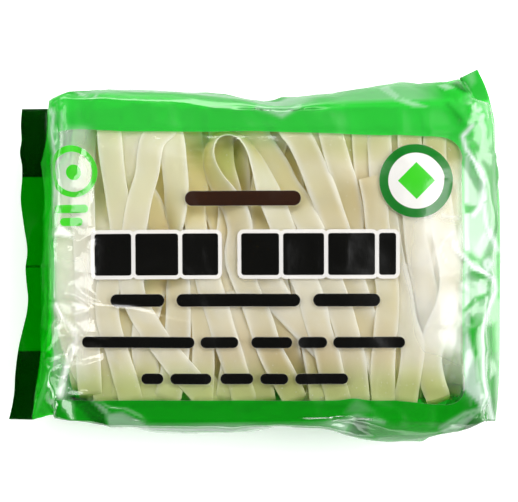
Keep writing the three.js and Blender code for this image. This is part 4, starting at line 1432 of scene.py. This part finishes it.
def seam_material():
    g = Nodes("seam_film")
    clear = g.new("ShaderNodeBsdfTransparent"); clear.inputs[0].default_value = (0.02, 0.5, 0.03, 1)
    lw = g.new("ShaderNodeLayerWeight"); lw.inputs["Blend"].default_value = 0.5
    fac = g.math('ADD', g.math('MULTIPLY', g.math('POWER', lw.outputs["Facing"], 4.0), 0.6), 0.07)
    gloss = g.new("ShaderNodeBsdfGlossy"); gloss.inputs["Roughness"].default_value = 0.12
    g.t.links.new(g.mixs(fac, clear.outputs[0], gloss.outputs[0]), g.out.inputs["Surface"])
    return g.mat

def noodle_material():
    g = Nodes("rice_noodle")
    at = g.new("ShaderNodeAttribute", attribute_name="strip")
    sep = g.new("ShaderNodeSeparateXYZ"); g.put(sep.inputs[0], at.outputs["Vector"])
    sid, along, across = sep.outputs
    co = g.new("ShaderNodeCombineXYZ")
    g.put(co.inputs[0], across); g.put(co.inputs[1], along); g.put(co.inputs[2], g.math('MULTIPLY', sid, 7.3))
    # cloudy patches, a fine grain, and each strip a little apart from the next
    cloud = g.noise(co.outputs[0], 0.11, 3.0, 0.6)
    grain = g.noise(co.outputs[0], 0.9, 4.0, 0.7)
    own = g.math('FRACT', g.math('MULTIPLY', g.math('SINE', g.math('MULTIPLY', sid, 12.9898)), 43.7))
    cloud = g.math('MULTIPLY_ADD', cloud, 2.2, -0.6, clamp=True)
    grain = g.math('MULTIPLY_ADD', grain, 2.6, -0.8, clamp=True)
    base = g.mixc(cloud, (0.925, 0.900, 0.820, 1), (0.980, 0.972, 0.940, 1))
    base = g.mixc(g.math('MULTIPLY', g.math('MULTIPLY', own, own), 0.54), base, (0.875, 0.82, 0.60, 1))
    base = g.mixc(g.math('MULTIPLY', grain, 0.30), base, (0.93, 0.91, 0.83, 1))
    # painted light: light that reaches the strips underneath has come through others, so they are painted yellower,
    # and a strip with nothing close under it is painted less white than one that lies on another
    pl = g.new("ShaderNodeAttribute", attribute_name="place")
    sp = g.new("ShaderNodeSeparateXYZ"); g.put(sp.inputs[0], pl.outputs["Vector"])
    base = g.mixc(g.math('MULTIPLY_ADD', sp.outputs[2], -0.57, 0.57), base, (0.875, 0.815, 0.59, 1))
    deep = g.ramp(g.math('MULTIPLY', sp.outputs[0], 1 / 14.0), [(0.10, (0, 0, 0, 1)), (0.26, (0.50, 0.50, 0.50, 1)), (0.70, (1, 1, 1, 1))])
    base = g.mixc(deep, base, (0.985, 0.86, 0.46, 1))
    tn = g.new("ShaderNodeAttribute", attribute_name="shade_and_tone")
    st = g.new("ShaderNodeSeparateXYZ"); g.put(st.inputs[0], tn.outputs["Vector"])
    # painted shade: browner where less light gets in under the print
    base = g.mixc(g.math('MULTIPLY', st.outputs[0], 0.95), base, (0.73, 0.61, 0.34, 1))
    # painted light: along both long sides the strips are painted green for light through the print beside them
    green_light = sp.outputs[1]
    base = g.mixc(g.math('MULTIPLY', green_light, g.math('MULTIPLY_ADD', deep, 0.27, 0.71)), base, g.mixc(st.outputs[0], (0.70, 0.77, 0.24, 1), (0.46, 0.52, 0.11, 1)))
    # painted highlight: whiter towards the two edges, where the strips are thinner
    edge_highlight = g.math('MULTIPLY_ADD', g.math('ABSOLUTE', across), 1 / 2.4, -2.2 / 2.4, clamp=True)
    edge_highlight = g.math('MULTIPLY', g.math('MULTIPLY', edge_highlight, edge_highlight), g.math('MULTIPLY_ADD', green_light, -0.72, 0.97))
    base = g.mixc(edge_highlight, base, (0.988, 0.982, 0.955, 1))
    # a few pale specks
    vor = g.new("ShaderNodeTexVoronoi"); g.put(vor.inputs["Vector"], co.outputs[0]); vor.inputs["Scale"].default_value = 0.42
    speck = g.math('LESS_THAN', vor.outputs["Distance"], 0.11)
    base = g.mixc(g.math('MULTIPLY', speck, 0.6), base, (0.985, 0.98, 0.96, 1))
    hgt = g.math('ADD', g.math('MULTIPLY', grain, 0.12), g.math('MULTIPLY', g.noise(co.outputs[0], 0.35, 2.0, 0.5), 1.0))
    bump = g.new("ShaderNodeBump"); g.put(bump.inputs["Height"], hgt)
    bump.inputs["Strength"].default_value = 0.15; bump.inputs["Distance"].default_value = 0.0004
    p = g.new("ShaderNodeBsdfPrincipled")
    g.put(p.inputs["Base Color"], base)
    p.inputs["Roughness"].default_value = 0.5
    g.put(p.inputs["Normal"], bump.outputs[0])
    tr = g.new("ShaderNodeBsdfTranslucent"); g.put(tr.inputs[0], g.mixc(g.math('MULTIPLY_ADD', green_light, -0.36, 0.4), base, (0.985, 0.94, 0.76, 1)))
    g.t.links.new(g.mixs(0.57, p.outputs[0], tr.outputs[0]), g.out.inputs["Surface"])
    return g.mat

film.data.materials.append(film_material())
seam.data.materials.append(seam_material())
noodles.data.materials.append(noodle_material())
for ob, slot in ((film, "printed_film"), (seam, "printed_film"), (noodles, "rice_noodle")):
    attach(ob, "root")
    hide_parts("noodle_bag")

# =====================================================================================
# 5. Floor, lights, camera
# =====================================================================================
def floor():
    me = bpy.data.meshes.new("floor")
    s = 1.6
    me.from_pydata([(-s, -s, 0), (s, -s, 0), (s, s, 0), (-s, s, 0)], [], [(0, 1, 2, 3)])
    ob = bpy.data.objects.new("floor", me)
    bpy.context.scene.collection.objects.link(ob)
    m = bpy.data.materials.new("floor"); m.use_nodes = True
    b = m.node_tree.nodes["Principled BSDF"]
    b.inputs["Base Color"].default_value = (0.93, 0.93, 0.93, 1)
    b.inputs["Roughness"].default_value = 0.8
    b.inputs["Specular IOR Level"].default_value = 0.1
    b.inputs["Emission Color"].default_value = (1, 1, 1, 1)
    b.inputs["Emission Strength"].default_value = 0.36
    me.materials.append(m)
    return ob

floor()

def softbox(name, at, to, size, watts, colour=(1, 1, 1), lights_up=True):
    l = bpy.data.lights.new(name, 'AREA')
    l.shape = 'RECTANGLE'; l.size, l.size_y = size
    l.energy = watts; l.color = colour
    ob = bpy.data.objects.new(name, l)
    ob.location = at
    ob.rotation_euler = (Vector(to) - Vector(at)).to_track_quat('-Z', 'Y').to_euler()
    bpy.context.scene.collection.objects.link(ob)
    ob.visible_diffuse = lights_up
    return ob

MID = (0.0, 0.0, 0.03)
softbox("key_right", (0.76, 0.02, 0.72), MID, (0.62, 0.85), 7.6)
softbox("low_right", (0.80, 0.0, 0.18), MID, (0.9, 0.34), 6.5, lights_up=False)
softbox("low_front", (0.0, -0.80, 0.12), MID, (1.0, 0.24), 3.4, lights_up=False)
softbox("back", (-0.05, 0.42, 0.56), MID, (0.70, 0.26), 2.1)
softbox("left", (-0.66, 0.08, 0.66), MID, (0.22, 0.7), 2.6)
softbox("low_left", (-0.74, 0.0, 0.40), MID, (0.9, 0.30), 5.2, lights_up=False)

# a light tent: dark overhead, so that the black print stays black, and light all round,
# most of it from +X and +Y
world = bpy.data.worlds.new("tent")
bpy.context.scene.world = world
world.use_nodes = True
wt = world.node_tree
def wmath(op, a, b):
    n = wt.nodes.new("ShaderNodeMath"); n.operation = op
    for k, v in enumerate((a, b)):
        if isinstance(v, bpy.types.NodeSocket):
            wt.links.new(v, n.inputs[k])
        else:
            n.inputs[k].default_value = v
    return n.outputs[0]
tc = wt.nodes.new("ShaderNodeTexCoord")
sw = wt.nodes.new("ShaderNodeSeparateXYZ")
wt.links.new(tc.outputs["Generated"], sw.inputs[0])
dx, dy, dz = sw.outputs
ax = Vector((-0.28, -0.22, 1.0)).normalized()
dot = wmath('ADD', wmath('ADD', wmath('MULTIPLY', dx, ax.x), wmath('MULTIPLY', dy, ax.y)), wmath('MULTIPLY', dz, ax.z))
wr = wt.nodes.new("ShaderNodeValToRGB")
wr.color_ramp.interpolation = 'EASE'
wt.links.new(dot, wr.inputs[0])
e = wr.color_ramp.elements
e[0].position, e[0].color = 0.0, (0.45, 0.45, 0.45, 1)
e[1].position, e[1].color = 0.915, (0.015, 0.015, 0.015, 1)
k = e.new(0.50); k.color = (1.0, 1.0, 1.0, 1)
k = e.new(0.70); k.color = (0.95, 0.95, 0.95, 1)
way = wmath('ADD', wmath('MULTIPLY', wmath('MAXIMUM', dx, -0.6), 0.75), wmath('MULTIPLY', wmath('MAXIMUM', dy, -0.9), 0.65))
way = wmath('ADD', way, 0.95)
way = wmath('MULTIPLY', way, 0.86)
wb = wt.nodes["Background"]
wt.links.new(wr.outputs[0], wb.inputs[0])
wt.links.new(way, wb.inputs[1])

cam = bpy.data.cameras.new("camera")
cam.sensor_width = 36.0
cam.lens = 36.0 * 1928.0 / 518.0
camera = bpy.data.objects.new("camera", cam)
camera.location = ((259.0 - 254.9) / PX / 1000 + SHIFT[0] / 1000, (255.0 - 251.0) / PX / 1000 + SHIFT[1] / 1000, 0.80)
camera.rotation_euler = (0, 0, 0)
bpy.context.scene.collection.objects.link(camera)
bpy.context.scene.camera = camera
bpy.context.scene.view_settings.view_transform = 'Standard'
bpy.context.scene.view_settings.look = 'None'

bpy.context.scene.cycles.diffuse_bounces = 8
bpy.context.scene.cycles.transmission_bounces = 12
bpy.context.scene.cycles.transparent_max_bounces = 24
